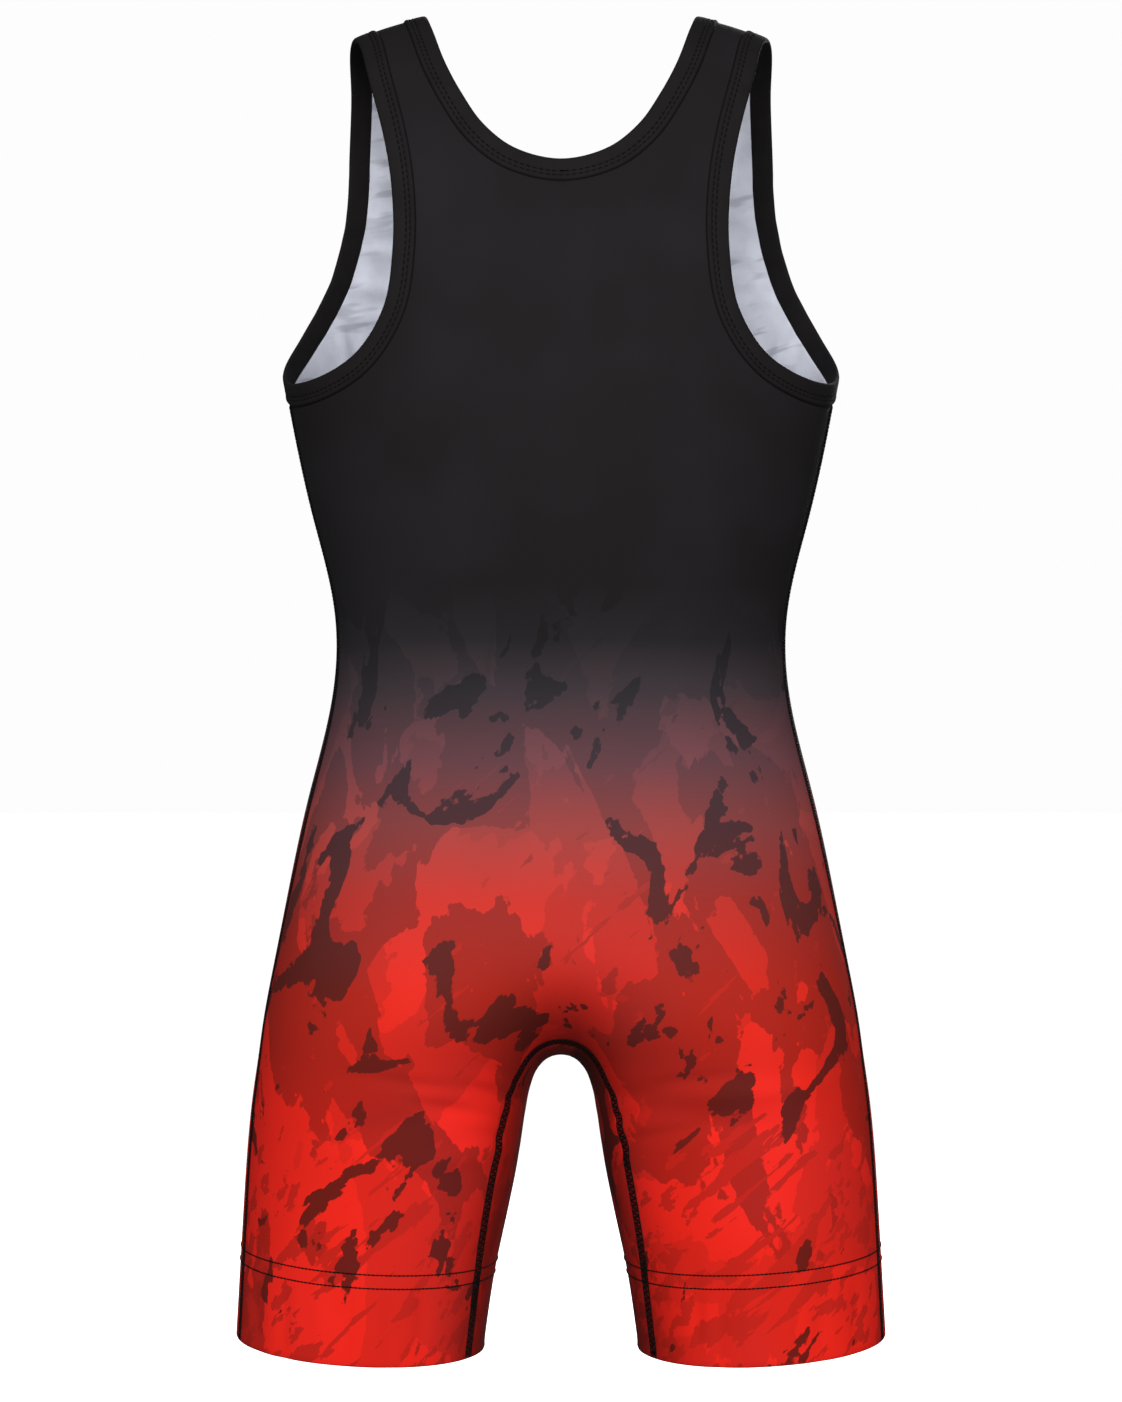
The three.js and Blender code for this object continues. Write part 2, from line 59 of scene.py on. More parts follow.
# The worn form, one row for each level, in millimetres. half is half the whole width, spread is how far
# each leg's axis stands from the middle, back and front are depths along Y, square is the corner fullness
# of the section, and seat and groin are how far the cloth bridges between the legs behind and in front.
FORM_COLUMNS = ("z", "half", "spread", "back", "front", "square", "seat", "groin")
FORM = (
    (10, 205, 0, -84, 84, 2.5, 0, 0),
    (-60, 205, 0, -85, 84, 2.5, 0, 0),
    (-110, 204, 0, -92, 90, 2.5, 0, 0),
    (-170, 200, 0, -104, 105, 2.45, 0, 0),
    (-230, 190, 0, -111, 117, 2.4, 0, 0),
    (-275, 181.6, 0, -112, 120, 2.4, 0, 0),
    (-340, 167.4, 0, -105, 114, 2.35, 0, 0),
    (-395, 154.6, 0, -91, 104, 2.3, 0, 0),
    (-430, 152.2, 0, -84, 99, 2.3, 0, 0),
    (-475, 157.6, 0, -83, 97, 2.3, 0, 0),
    (-530, 171, 8, -92, 98, 2.3, 3, 4),
    (-585, 182.4, 38, -108, 100, 2.25, 12, 24),
    (-640, 192.8, 76, -119, 101, 2.2, 50, 78),
    (-680, 200.2, 100, -115, 98, 2.15, 62, 80),
    (-702, 203.4, 109.5, -108, 94, 2.1, 66, 66),
    (-726, 207, 114.8, -102, 90, 2.1, 62, 62),
    (-767, 211.3, 119.9, -97, 87, 2.05, 60, 60),
    (-808, 214, 125.2, -94, 84, 2.05, 60, 60),
    (-848, 216.3, 130.6, -91, 81, 2.05, 60, 60),
    (-895, 219, 135.5, -88, 78, 2.05, 60, 60),
)
CAP_BASE = -100
CAP_HEIGHT = 104.5

# Free edge of the neck on the wearer's right, from the middle back over the shoulder to the middle front.
NECK_EDGE = (
    ("back", 0, -113),
    ("back", 30, -105.5),
    ("back", 50.5, -89),
    ("back", 64.5, -68),
    ("back", 76, -45),
    ("back", 85.5, -18),
    ("top", 92, 0),
    ("front", 92, -22),
    ("front", 88, -70),
    ("front", 78, -125),
    ("front", 60, -175),
    ("front", 33, -211),
    ("front", 0, -224),
)

# Free edge of the wearer's right armhole, from the shoulder down the back, under the arm and up the front.
ARMHOLE_EDGE = (
    ("top", 142, 0),
    ("back", 134, -28),
    ("back", 125, -61),
    ("back", 116, -95),
    ("back", 110, -132),
    ("back", 109, -170),
    ("back", 115, -209),
    ("back", 133, -237),
    ("back", 160, -251),
    ("side", -12, -248),
    ("front", 180.5, -213),
    ("front", 163.5, -175),
    ("front", 152.5, -136),
    ("front", 148.5, -95),
    ("front", 145.5, -45),
)

# How far the side seam stands behind the middle of the form's depth, by height.
SIDE_SEAM = ((-895, 28.5), (-640, 26), (-430, 18), (-230, 16))

# Inner leg seam behind the inner thigh, from the crotch to the hem.
INSEAM = (
    ("back", 16, -692),
    ("back", 28, -711.5),
    ("back", 36, -733),
    ("back", 43, -763),
    ("back", 51.5, -811),
    ("back", 58, -862),
    ("back", 62, -899),
)

# Heights, widths and turns that the cut is drawn to.
BAND_WIDTH = 15
HEM_Z = -895
HEM_TILT = 5
HEM_DEPTH = 58
ARCH_Z = -736
CROTCH_Z = -702
SHOULDER_SEAM_Y = 8
CROTCH_SEAM_SWING = math.radians(51)

# Rows of the coarse grid from hem to shoulder, as in the solids, and how finely each cell is divided.
ROWS = {"hem": 3, "leg": 5, "arch": 5, "torso": 18}
UPPER = {"back": {"yoke": 8, "strap": 10, "share": 0.52}, "front": {"yoke": 4, "strap": 16, "share": 0.18}}
COLUMNS = 13
FINE_ROWS = 6
FINE_COLUMNS = 5
SMOOTHING = 160
DENSE = 600


# Surfaces

def natural_spline(places, values):
    """A smooth curve through numbers or points that stand at the given places."""
    gaps = np.diff(places)
    values = np.asarray(values, dtype=float)
    last = len(places) - 1
    system = np.eye(last + 1)
    pull = np.zeros_like(values)
    for i in range(1, last):
        system[i, i - 1 : i + 2] = gaps[i - 1], 2 * (gaps[i - 1] + gaps[i]), gaps[i]
        rise = (values[i + 1] - values[i]) / gaps[i]
        pull[i] = 6 * (rise - (values[i] - values[i - 1]) / gaps[i - 1])
    bend = np.linalg.solve(system, pull.reshape(last + 1, -1)).reshape(values.shape)
    each = (1,) * (values.ndim - 1)

    def value_at(place):
        place = np.clip(place, places[0], places[-1])
        i = np.clip(np.searchsorted(places, place, side="right") - 1, 0, last - 1)
        gap = np.reshape(gaps[i], np.shape(i) + each)
        below = np.reshape(places[i + 1] - place, np.shape(i) + each) / gap
        above = 1 - below
        curve = (below**3 - below) * bend[i] + (above**3 - above) * bend[i + 1]
        return below * values[i] + above * values[i + 1] + curve * gap**2 / 6

    return value_at


FORM_TABLE = np.array(sorted(FORM), dtype=float)
LEVEL = {
    name: natural_spline(FORM_TABLE[:, 0], FORM_TABLE[:, i])
    for i, name in enumerate(FORM_COLUMNS)
    if i
}


def leg_spread(z):
    return np.maximum(LEVEL["spread"](z), 0)


def axis_y(z):
    return (LEVEL["back"](z) + LEVEL["front"](z)) / 2


def field(p):
    """Signed distance, roughly, from the worn form: below zero inside it."""
    x, y, z = p[..., 0], p[..., 1], p[..., 2]
    offset = leg_spread(z)
    radius = LEVEL["half"](z) - offset
    across = (y - axis_y(z)) * 2 / (LEVEL["front"](z) - LEVEL["back"](z))
    cap = np.maximum(z - CAP_BASE, 0) / CAP_HEIGHT
    square = LEVEL["square"](z)

    def column(side):
        u = np.abs(x - side * offset) / radius
        return (np.sqrt(u**square + across**2 + cap**2) - 1) * radius

    a, b = column(1), column(-1)
    turn = np.clip((across + 0.7) / 1.4, 0, 1)
    turn = turn * turn * (3 - 2 * turn)
    bridge = LEVEL["seat"](z) + (LEVEL["groin"](z) - LEVEL["seat"](z)) * turn
    bridge = np.maximum(bridge, 1e-6)
    near = np.maximum(bridge - np.abs(a - b), 0) / bridge
    return np.minimum(a, b) - near * near * bridge / 4


def gradient(p, step=0.05):
    slope = np.empty_like(p)
    for axis in range(3):
        move = np.zeros(3)
        move[axis] = step
        slope[..., axis] = (field(p + move) - field(p - move)) / (2 * step)
    return slope


def unit(v):
    return v / np.maximum(np.linalg.norm(v, axis=-1, keepdims=True), 1e-12)


def normal_at(p):
    return unit(gradient(p))


def settle(p, steps=5):
    """Points that are near the form, moved onto it."""
    p = np.array(p, dtype=float)
    for _ in range(steps):
        slope = gradient(p)
        p -= slope * (field(p) / np.maximum((slope**2).sum(-1), 1e-6))[..., None]
    return p


def cast(start, direction, stride=8.0):
    """Where rays from inside the form leave it."""
    start, direction = np.broadcast_arrays(np.array(start, float), np.array(direction, float))
    reach = np.full(start.shape[:-1], stride)
    inside = True
    while np.any(inside):
        inside = field(start + direction * reach[..., None]) < 0
        reach = np.where(inside, reach + stride, reach)
    low, high = reach - stride, reach
    for _ in range(24):
        middle = (low + high) / 2
        inside = field(start + direction * middle[..., None]) < 0
        low, high = np.where(inside, middle, low), np.where(inside, high, middle)
    return start + direction * low[..., None]


def on_form(face, a, z):
    """A table row of an edge as a point on the form. a is x, or y where the face is the side."""
    if face == "top":
        return cast((a, 0, CAP_BASE), (0, 0, 1))
    if face == "side":
        return cast((float(leg_spread(z)), a, z), (1, 0, 0))
    return cast((a, float(axis_y(z)), z), (0, -1 if face == "back" else 1, 0))


# Curves

def mirrored(p):
    return np.asarray(p) * (-1, 1, 1)


def catmull_rom(points, closed, count=DENSE):
    """Dense points along a smooth curve through a few, put on the form."""
    points = np.array(points, dtype=float)
    if closed:
        chain = np.vstack([points[-1], points, points[:2]])
    else:
        ends = 2 * points[0] - points[1], 2 * points[-1] - points[-2]
        chain = np.vstack([ends[0], points, ends[1]])
    spans = len(chain) - 3
    t = np.linspace(0, spans, count + 1)
    k = np.minimum(t.astype(int), spans - 1)
    local = (t - k)[:, None]
    p0, p1, p2, p3 = (chain[k + i] for i in range(4))
    d0, d1, d2 = (np.sqrt(np.linalg.norm(b - a, axis=1))[:, None] for a, b in ((p0, p1), (p1, p2), (p2, p3)))
    start = ((p1 - p0) / d0 - (p2 - p0) / (d0 + d1) + (p2 - p1) / d1) * d1
    end = ((p2 - p1) / d1 - (p3 - p1) / (d1 + d2) + (p3 - p2) / d2) * d1
    square, cube = local**2, local**3
    curve = p1 * (2 * cube - 3 * square + 1) + p2 * (3 * square - 2 * cube)
    return settle(curve + start * (cube - 2 * square + local) + end * (cube - square))


def tangents(points, closed):
    if closed:
        return unit(np.roll(points, -1, 0) - np.roll(points, 1, 0))
    return unit(np.gradient(points, axis=0))


def beside(points, distance, closed=False):
    """A line moved sideways over the form, to the right of its direction seen from outside."""
    ring = points[:-1] if closed else points
    sideways = unit(np.cross(tangents(ring, closed), normal_at(ring)))
    moved = settle(settle(ring + sideways * distance / 2) + sideways * distance / 2)
    return np.vstack([moved, moved[:1]]) if closed else moved


def reach_along(points):
    return np.concatenate([[0], np.cumsum(np.linalg.norm(np.diff(points, axis=0), axis=1))])


def resample(points, count, companion=None):
    """Points evenly spaced along a line, or beside them on a companion with the same numbering."""
    reach = reach_along(points)
    wanted = np.linspace(0, reach[-1], count + 1)
    source = points if companion is None else companion
    return settle(np.stack([np.interp(wanted, reach, source[:, i]) for i in range(3)], axis=1))


def nearest(values):
    return int(np.argmin(values))


def join_runs(*runs):
    return np.vstack([runs[0], *(run[1:] for run in runs[1:])])


neck_half = np.array([on_form(*row) for row in NECK_EDGE])
neck_free = catmull_rom(np.vstack([neck_half, mirrored(neck_half[-2:0:-1])]), True, DENSE * 2)[: DENSE + 1]
neck_seam = beside(neck_free, BAND_WIDTH)
armhole_free = catmull_rom([on_form(*row) for row in ARMHOLE_EDGE], True)
armhole_seam = beside(armhole_free, BAND_WIDTH, closed=True)
neck_seam[[0, -1], 0] = 0


seam_behind = natural_spline(*np.array(SIDE_SEAM, dtype=float).T)


def side_y(z):
    return axis_y(z) - seam_behind(z)


def at_shoulder(line):
    return nearest(np.abs(line[:, 1] - SHOULDER_SEAM_Y) + np.where(line[:, 2] < -60, 1e3, 0))


neck_shoulder = at_shoulder(neck_seam)
arm_shoulder = at_shoulder(armhole_seam)
arm_side = nearest(
    np.abs(armhole_seam[:, 1] - side_y(armhole_seam[:, 2])) + np.where(armhole_seam[:, 2] > -240, 1e3, 0)
)
underarm = armhole_seam[arm_side]


def armhole_run(face, line):
    """The stretch of a line round the armhole on one panel, from the underarm to the shoulder."""
    if face == "front":
        return line[arm_side : arm_shoulder + 1]
    return np.vstack([line[arm_shoulder:DENSE], line[: arm_side + 1]])[::-1]


def neck_run(face, line):
    return line[: neck_shoulder + 1] if face == "back" else line[neck_shoulder:][::-1]


def armhole_stations(face, line=armhole_seam):
    measured, wanted = armhole_run(face, armhole_seam), armhole_run(face, line)
    split = round(len(measured) * UPPER[face]["share"])
    return join_runs(
        resample(measured[: split + 1], UPPER[face]["yoke"], wanted[: split + 1]),
        resample(measured[split:], UPPER[face]["strap"], wanted[split:]),
    )


def neck_stations(face, line=neck_seam):
    return resample(neck_run(face, neck_seam), UPPER[face]["strap"], neck_run(face, line))


def side_seam(low, high):
    z = np.linspace(low, high, DENSE + 1)
    start = np.stack([leg_spread(z), side_y(z), z], axis=1)
    return cast(start, (1, 0, 0))


CENTRE = np.array([0, float(axis_y(-650)), -650])


def crotch_ray(angle):
    angle = np.atleast_1d(angle)
    return cast(CENTRE, np.stack([np.zeros_like(angle), -np.sin(angle), -np.cos(angle)], axis=1))


def middle_line(face, top):
    """The middle of a panel from the crotch seam up to the neck."""
    quarter = math.pi / 2 * (1 if face == "back" else -1)
    under = crotch_ray(np.linspace(CROTCH_SEAM_SWING, quarter, DENSE + 1))
    z = np.linspace(CENTRE[2], top[2], DENSE + 1)
    start = np.stack([np.zeros_like(z), axis_y(z), z], axis=1)
    rise = cast(start, (0, -1 if face == "back" else 1, 0))
    rise[-1] = top
    return join_runs(under, rise)


crossing = crotch_ray(CROTCH_SEAM_SWING)[0]
inseam_points = [on_form(*row) for row in INSEAM]
whole_inseam = inseam_points[::-1] + [crossing] + [mirrored(p) for p in inseam_points]
inseam = catmull_rom(whole_inseam, False, DENSE * 2)[: DENSE + 1]
inseam[-1] = crossing


def split_at(points, z):
    i = nearest(np.abs(points[:, 2] - z))
    return points[: i + 1], points[i:]


# The panels' grid

def row_between(left, right, face, is_hem, is_strap):
    """One row over the form, turning about the leg's or torso's axis, or straight across a strap."""
    share = np.linspace(0, 1, COLUMNS + 1)
    if is_strap:
        return settle(left + (right - left) * share[:, None])
    whole = -2 * math.pi if face == "back" else 2 * math.pi
    start = math.atan2(left[1] - axis_y(left[2]), left[0] - leg_spread(left[2]))
    end = math.atan2(right[1] - axis_y(right[2]), right[0] - leg_spread(right[2]))
    if end * whole < 0:
        end += whole
    turn = start + (end - start) * share
    height = (math.cos(start) - np.cos(turn)) / (math.cos(start) - math.cos(end)) if is_hem else share
    z = left[2] + (right[2] - left[2]) * height
    centre = np.stack([leg_spread(z), axis_y(z), z], axis=1)
    row = cast(centre, np.stack([np.cos(turn), np.sin(turn), np.zeros_like(turn)], axis=1))
    row[:, 0] = np.maximum(row[:, 0], 1 - share)
    row = settle(row)
    row[0], row[-1] = left, right
    return row


def smooth_grid(grid):
    """Evens out the inside of a grid on the form, with no folding over where an edge is hollow."""
    low = ROWS["hem"] + 1
    for _ in range(SMOOTHING):
        here, left, right = grid[low:-1, 1:-1], grid[low:-1, :-2], grid[low:-1, 2:]
        below, above = grid[low - 1 : -2, 1:-1], grid[low + 1 :, 1:-1]
        along, up = right - left, above - below
        row_weight = (up**2).sum(-1, keepdims=True)
        column_weight = (along**2).sum(-1, keepdims=True)
        shear = grid[low + 1 :, 2:] - grid[low + 1 :, :-2] - grid[low - 1 : -2, 2:] + grid[low - 1 : -2, :-2]
        total = (left + right) * row_weight + (above + below) * column_weight
        total = total - shear * (along * up).sum(-1, keepdims=True) / 2
        moved = total / (2 * (row_weight + column_weight))
        grid[low:-1, 1:-1] = settle(here * 0.25 + moved * 0.75, 2)


def refine(grid, blocks, times):
    """More rows, on smooth curves through the rows of each block."""
    runs = []
    for low, high in zip(blocks, blocks[1:]):
        curve = natural_spline(np.arange(high - low + 1.0), grid[low : high + 1])
        runs.append(curve(np.linspace(0, high - low, (high - low) * times + 1)))
    return join_runs(*runs)


class HalfPanel:
    """The right half of a panel as a fine grid: rows from hem to shoulder, columns from side to middle."""

    def __init__(self, face):
        self.face = face
        hem_side, rest = split_at(side_seam(HEM_Z + HEM_TILT, underarm[2]), HEM_Z + HEM_TILT + HEM_DEPTH)
        leg_side, rest = split_at(rest, ARCH_Z)
        arch_side, torso_side = split_at(rest, CROTCH_Z)
        hem_inner, rest = split_at(inseam, inseam[0][2] + HEM_DEPTH)
        leg_inner, arch_inner = split_at(rest, ARCH_Z)
        neck = neck_stations(face)
        middle = middle_line(face, neck[0])
        chest = nearest(np.abs(middle[:, 2] - underarm[2]))
        counts = ROWS["hem"], ROWS["leg"], ROWS["arch"]
        outer = join_runs(
            *(resample(line, n) for line, n in zip((hem_side, leg_side, arch_side), counts)),
            resample(torso_side, ROWS["torso"]),
            armhole_stations(face),
        )
        inner = join_runs(
            *(resample(line, n) for line, n in zip((hem_inner, leg_inner, arch_inner), counts)),
            resample(middle[: chest + 1], ROWS["torso"]),
            resample(middle[chest:], UPPER[face]["yoke"]),
            neck,
        )
        crotch = sum(counts)
        underarm_row = crotch + ROWS["torso"]
        neck_row = underarm_row + UPPER[face]["yoke"]
        top = len(outer) - 1
        grid = np.stack([
            row_between(outer[i], inner[i], face, i <= ROWS["hem"], i > neck_row) for i in range(top + 1)
        ])
        grid[crotch : neck_row + 1, -1, 0] = 0
        smooth_grid(grid)
        grid = refine(grid, (0, crotch, underarm_row, neck_row, top), FINE_ROWS)
        grid = refine(grid.swapaxes(0, 1), (0, COLUMNS), FINE_COLUMNS).swapaxes(0, 1)
        self.hem_rows = ROWS["hem"] * FINE_ROWS
        self.crotch, self.underarm, self.neck = (row * FINE_ROWS for row in (crotch, underarm_row, neck_row))
        self.grid = settle(grid)
        self.grid[self.crotch : self.neck + 1, -1, 0] = 0
        self.tuck_under_bindings()

    def tuck_under_bindings(self, under=1.5):
        """The cloth's edge runs on a little way beneath each binding."""
        side = 1 if self.face == "back" else -1
        self.grid[self.underarm :, 0] = beside(self.grid[self.underarm :, 0], side * under)
        self.grid[self.neck :, -1] = beside(self.grid[self.neck :, -1], -side * under)
        self.grid[self.neck, -1, 0] = 0

    def give(self, reach=9.0):
        """How freely each point of the cloth folds: less beside the bindings, which are stiffer."""
        free = np.ones(self.grid.shape[:2])
        for low, edge in ((self.underarm, 0), (self.neck, -1)):
            away = np.linalg.norm(self.grid[low:] - self.grid[low:, edge][:, None], axis=2)
            free[low:] = np.minimum(free[low:], 1 - (1 - BINDING_GIVE) * np.exp(-((away / reach) ** 2)))
        return free


PANELS = {face: HalfPanel(face) for face in ("back", "front")}


# Folds of each panel, as x, z, half length, half width and depth in millimetres, and tilt in degrees. Each
# is a soft trough, or a ridge where its depth is below zero. The back's first four follow the solids.
FOLDS = {
    "back": (
        # Under the seat
        (92, -733, 62, 11, 2.4, -7), (48, -722, 26, 6, 1.6, 14), (-60, -727, 34, 10, 1.8, 5),
        (-118, -741, 48, 12, 1.6, 9), (-66, -731, 30, 4.5, 2.1, -17), (-44, -721, 22, 4, 1.5, -26),
        (-88, -712, 36, 5, 1.7, -9), (-46, -748, 22, 5, 1.4, -22), (-40, -708, 15, 4, 1.3, -38),
        (66, -746, 30, 4.5, 2.0, 15), (44, -736, 19, 4, 1.8, 27), (82, -709, 32, 5, 1.5, 10),
        (128, -716, 44, 7, -1.5, 4), (43, -759, 21, 4, 1.4, 34), (-70, -762, 36, 7, -1.4, 2),
        # At the waist
        (-52, -452, 74, 13, 0.9, 5), (64, -466, 58, 11, 0.8, -6), (6, -424, 88, 17, 0.7, 2),
        (98, -436, 40, 9, 0.6, -14), (-104, -478, 38, 10, 0.7, 15),
        # Across the hems
        (-201, -866, 22, 4.2, 1.1, 92), (-181, -871, 26, 5.1, 1.3, 88), (-157, -864, 19, 6.0, -1.0, 91),
        (-139, -869, 25, 4.2, 1.3, 86), (-112, -873, 22, 5.1, 1.4, 93), (-91, -866, 18, 4.2, 1.1, 90),
        (89, -865, 20, 4.2, 1.3, 92), (104, -872, 26, 5.1, 1.6, 87), (123, -868, 24, 6.0, -1.1, 90),
        (141, -865, 19, 4.2, 1.1, 95), (169, -871, 23, 6.0, 1.3, 88), (193, -867, 20, 4.2, 1.1, 91),
    ),
    "front": (
        # Beside the groin
        (62, -722, 46, 8, 2.2, 12), (118, -738, 40, 9, 1.8, -6), (48, -745, 22, 5, 1.7, -16),
        (40, -712, 20, 4, 1.4, 28), (-55, -716, 38, 7, 2.1, -14), (-104, -733, 52, 9, 2.1, -5),
        (-44, -749, 20, 5, 1.5, 19), (-38, -706, 17, 4, 1.3, -33),
        # At the waist
        (46, -448, 66, 12, 1.0, -4), (-58, -470, 60, 14, 0.9, 7), (-16, -421, 80, 15, 0.7, -2),
        (92, -485, 42, 10, 0.8, 13),
        # Beside the armholes
        (134, -104, 32, 5.5, 2.6, 4), (129, -124, 36, 5, 2.2, -5), (138, -149, 42, 6.5, 3.2, 6),
        (128, -168, 38, 5, 2.0, -3), (144, -181, 36, 5, 2.6, 9), (163, -212, 17, 4.5, 2.5, 63),
        (152, -224, 20, 4, 2.0, 76), (139, -236, 24, 5, 2.2, 98), (-131, -97, 30, 5, 2.5, -6),
        (-136, -131, 40, 6, 3.0, 5), (-127, -147, 33, 4.5, 2.0, -4), (-140, -172, 42, 6, 3.0, -8),
        (-131, -194, 30, 5, 2.2, 3), (-166, -206, 16, 4.5, 2.2, 112), (-153, -219, 21, 4.5, 2.6, 101),
        (-141, -234, 25, 5, 1.7, 84),
        # Across the hems
        (-188, -868, 22, 5.1, 1.3, 91), (-163, -872, 25, 4.2, 1.1, 87), (-128, -866, 21, 6.0, 1.4, 92),
        (-98, -870, 22, 4.2, 1.1, 89), (93, -869, 24, 5.1, 1.3, 88), (117, -865, 20, 4.2, 1.1, 93),
        (149, -872, 24, 5.1, 1.4, 90), (182, -867, 21, 5.1, 1.1, 86),
    ),
}

# Depth over which a panel's folds fade out towards its sides, and how freely cloth folds beside a binding.
FOLD_FADE = 30
BINDING_GIVE = 0.25


def fold_depth(p):
    """How deep the folds press in at each point."""
    x, y, z = p[..., 0], p[..., 1], p[..., 2]
    facing = (y - axis_y(z)) / FOLD_FADE
    depth = np.zeros_like(x)
    for face, folds in FOLDS.items():
        side = np.clip(-facing if face == "back" else facing, 0, 1)
        for fold_x, fold_z, length, width, fold, tilt in folds:
            cos, sin = math.cos(math.radians(tilt)), math.sin(math.radians(tilt))
            along = (x - fold_x) * cos + (z - fold_z) * sin
            across = (z - fold_z) * cos - (x - fold_x) * sin
            depth += fold * side * np.exp(-((along / length) ** 2) - (across / width) ** 2)
    return depth


def raised(p, lift=0.0, give=1.0):
    """Points of the form in metres, moved out by lift millimetres and pressed in by a share of the folds."""
    p = np.asarray(p, dtype=float)
    return (p + normal_at(p) * np.asarray(lift - give * fold_depth(p))[..., None]) * MM


# Meshes

def new_piece(name, bm, materials):
    """A finished piece that rides on the garment's one body."""
    mesh = bpy.data.meshes.new(name)
    bm.to_mesh(mesh)
    bm.free()
    mesh.polygons.foreach_set("use_smooth", [True] * len(mesh.polygons))
    piece = bpy.data.objects.new(name, mesh)
    bpy.context.scene.collection.objects.link(piece)
    for material in materials:
        mesh.materials.append(material)
    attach(piece, "root")
    return piece


def grid_sheet(positions):
    """A bmesh sheet whose rows and columns lie at the given positions."""
    rows, columns = positions.shape[0] - 1, positions.shape[1] - 1
    bm = bmesh.new()
    bmesh.ops.create_grid(bm, x_segments=columns, y_segments=rows, size=1)
    for vert in bm.verts:
        i, j = round((vert.co.y + 1) / 2 * rows), round((vert.co.x + 1) / 2 * columns)
        vert.co = positions[i, j]
        vert.index = i * (columns + 1) + j
    return bm


def face_outwards(bm):
    """Turns the faces of a sheet that lies on the form so that they look away from it."""
    bmesh.ops.recalc_face_normals(bm, faces=bm.faces[:])
    centres = np.array([face.calc_center_median() for face in bm.faces]) / MM
    normals = np.array([face.normal[:] for face in bm.faces])
    if (normal_at(centres) * normals).sum() < 0:
        bmesh.ops.reverse_faces(bm, faces=bm.faces[:])


def panel_mesh(half, bend=1.0):
    """Both halves of a panel, with the hems turned up inside on a fold of the given radius."""
    grid, hem = half.grid, half.hem_rows
    down = unit(grid[0] - grid[1])
    turned = grid[hem::-1]
    angles = np.radians([135, 90, 45])
    fold = np.stack([grid[0] + down * bend * math.sin(angle) for angle in angles])
    base = np.concatenate([turned, fold, grid])
    drops = -bend * (1 - np.cos(angles))
    lift = np.concatenate([np.full(len(turned), -2 * bend), drops, np.zeros(len(grid))])
    give = np.concatenate([np.ones((len(base) - len(grid), base.shape[1])), half.give()])
    bm = grid_sheet(base)
    for name in ("lift", "give"):
        bm.verts.layers.float.new(name)
    lift_layer, give_layer = (bm.verts.layers.float[name] for name in ("lift", "give"))
    for vert in bm.verts:
        row, column = divmod(vert.index, base.shape[1])
        vert[lift_layer], vert[give_layer] = lift[row], give[row, column]
    bmesh.ops.mirror(bm, geom=bm.verts[:] + bm.edges[:] + bm.faces[:], axis="X", merge_dist=1e-3)
    kept = np.array([(*vert.co, vert[lift_layer], vert[give_layer]) for vert in bm.verts])
    places = raised(kept[:, :3], kept[:, 3], kept[:, 4])
    for vert, place in zip(bm.verts, places):
        vert.co = place
    face_outwards(bm)
    return bm


# A binding's section, as (share of its width from the seam, lift): over the ridge of the folded tape and two
# stitched grooves to the free edge, and back inside. Then the steps along it.
BINDING_SECTION = (
    (0.0, 0.3), (0.006, 1.1), (0.03, 1.6), (0.08, 1.95), (0.135, 2.0), (0.18, 1.7), (0.225, 1.32),
    (0.27, 1.6), (0.34, 1.62), (0.375, 1.45), (0.4, 1.28), (0.425, 1.46), (0.47, 1.7), (0.6, 1.78),
    (0.8, 1.78), (0.9, 1.66), (0.96, 1.25), (0.99, 0.65), (1.0, 0.0), (0.99, -0.6), (0.95, -1.1),
    (0.88, -1.3), (0.6, -1.35), (0.3, -1.3), (0.06, -1.25), (0.01, -1.0), (0.0, -0.5),
)

BINDING_STEP = 2.2

# Rows of stitching along a binding: share of its width from the free edge, lift and step in millimetres.
# The last one is a close, unbroken row of dark thread over the seam itself: a painted shadow line where
# the binding meets the cloth.
BINDING_ROWS = ((0.6, 1.52, 4.3), (0.775, 1.48, 4.3), (1.012, 0.55, 2.3))

# Rows of stitching above the hem's edge, how far apart their stitches are and how far they stand out.
HEM_ROWS = (51, 60)
HEM_STEP = 2.8
HEM_LIFT = 0.75

# A flatlock seam's width, how far its threads stand out, the steps along it and its edge rows, the width,
# height and turns of its crossing threads, and its section laid over the two cut edges.
FLATLOCK_WIDTH = {"side": 6.5, "inner": 8.2, "shoulder": 6.5}
FLATLOCK_LIFT = 0.95
FLATLOCK_STEP = 2.0
EDGE_ROW_STEP = 2.6
RUNG_SECTION = (1.25, 0.9)
RUNG_TURNS = (78, 102)
FLATLOCK_SECTION = (
    (0.0, 0.2), (0.03, 0.55), (0.12, 0.78), (0.3, 0.74), (0.5, 0.7), (0.7, 0.74), (0.88, 0.78),
    (0.97, 0.55), (1.0, 0.2), (0.5, 0.1),
)


def swept_band(rail, far, section, closed, give=1.0):
    """A strip's closed section, as (share across, lift) points, carried along two lines on the form."""
    across, lift = np.array(section + section[:1]).T
    rows = rail[:, None] + (far - rail)[:, None] * across[None, :, None]
    bm = grid_sheet(raised(settle(rows, 3), np.broadcast_to(lift, rows.shape[:2]), give))
    bmesh.ops.remove_doubles(bm, verts=bm.verts[:], dist=1e-6)
    if not closed:
        bmesh.ops.holes_fill(bm, edges=[edge for edge in bm.edges if edge.is_boundary], sides=0)
    bmesh.ops.recalc_face_normals(bm, faces=bm.faces[:])
    return bm


def whole_ring(right_half):
    """A closed neck line from its right half."""
    return np.vstack([right_half, mirrored(right_half[-2:0:-1]), right_half[:1]])


def evenly(line, spacing):
    """Points along a line at about the given spacing."""
    return resample(line, max(2, round(reach_along(line)[-1] / spacing)))


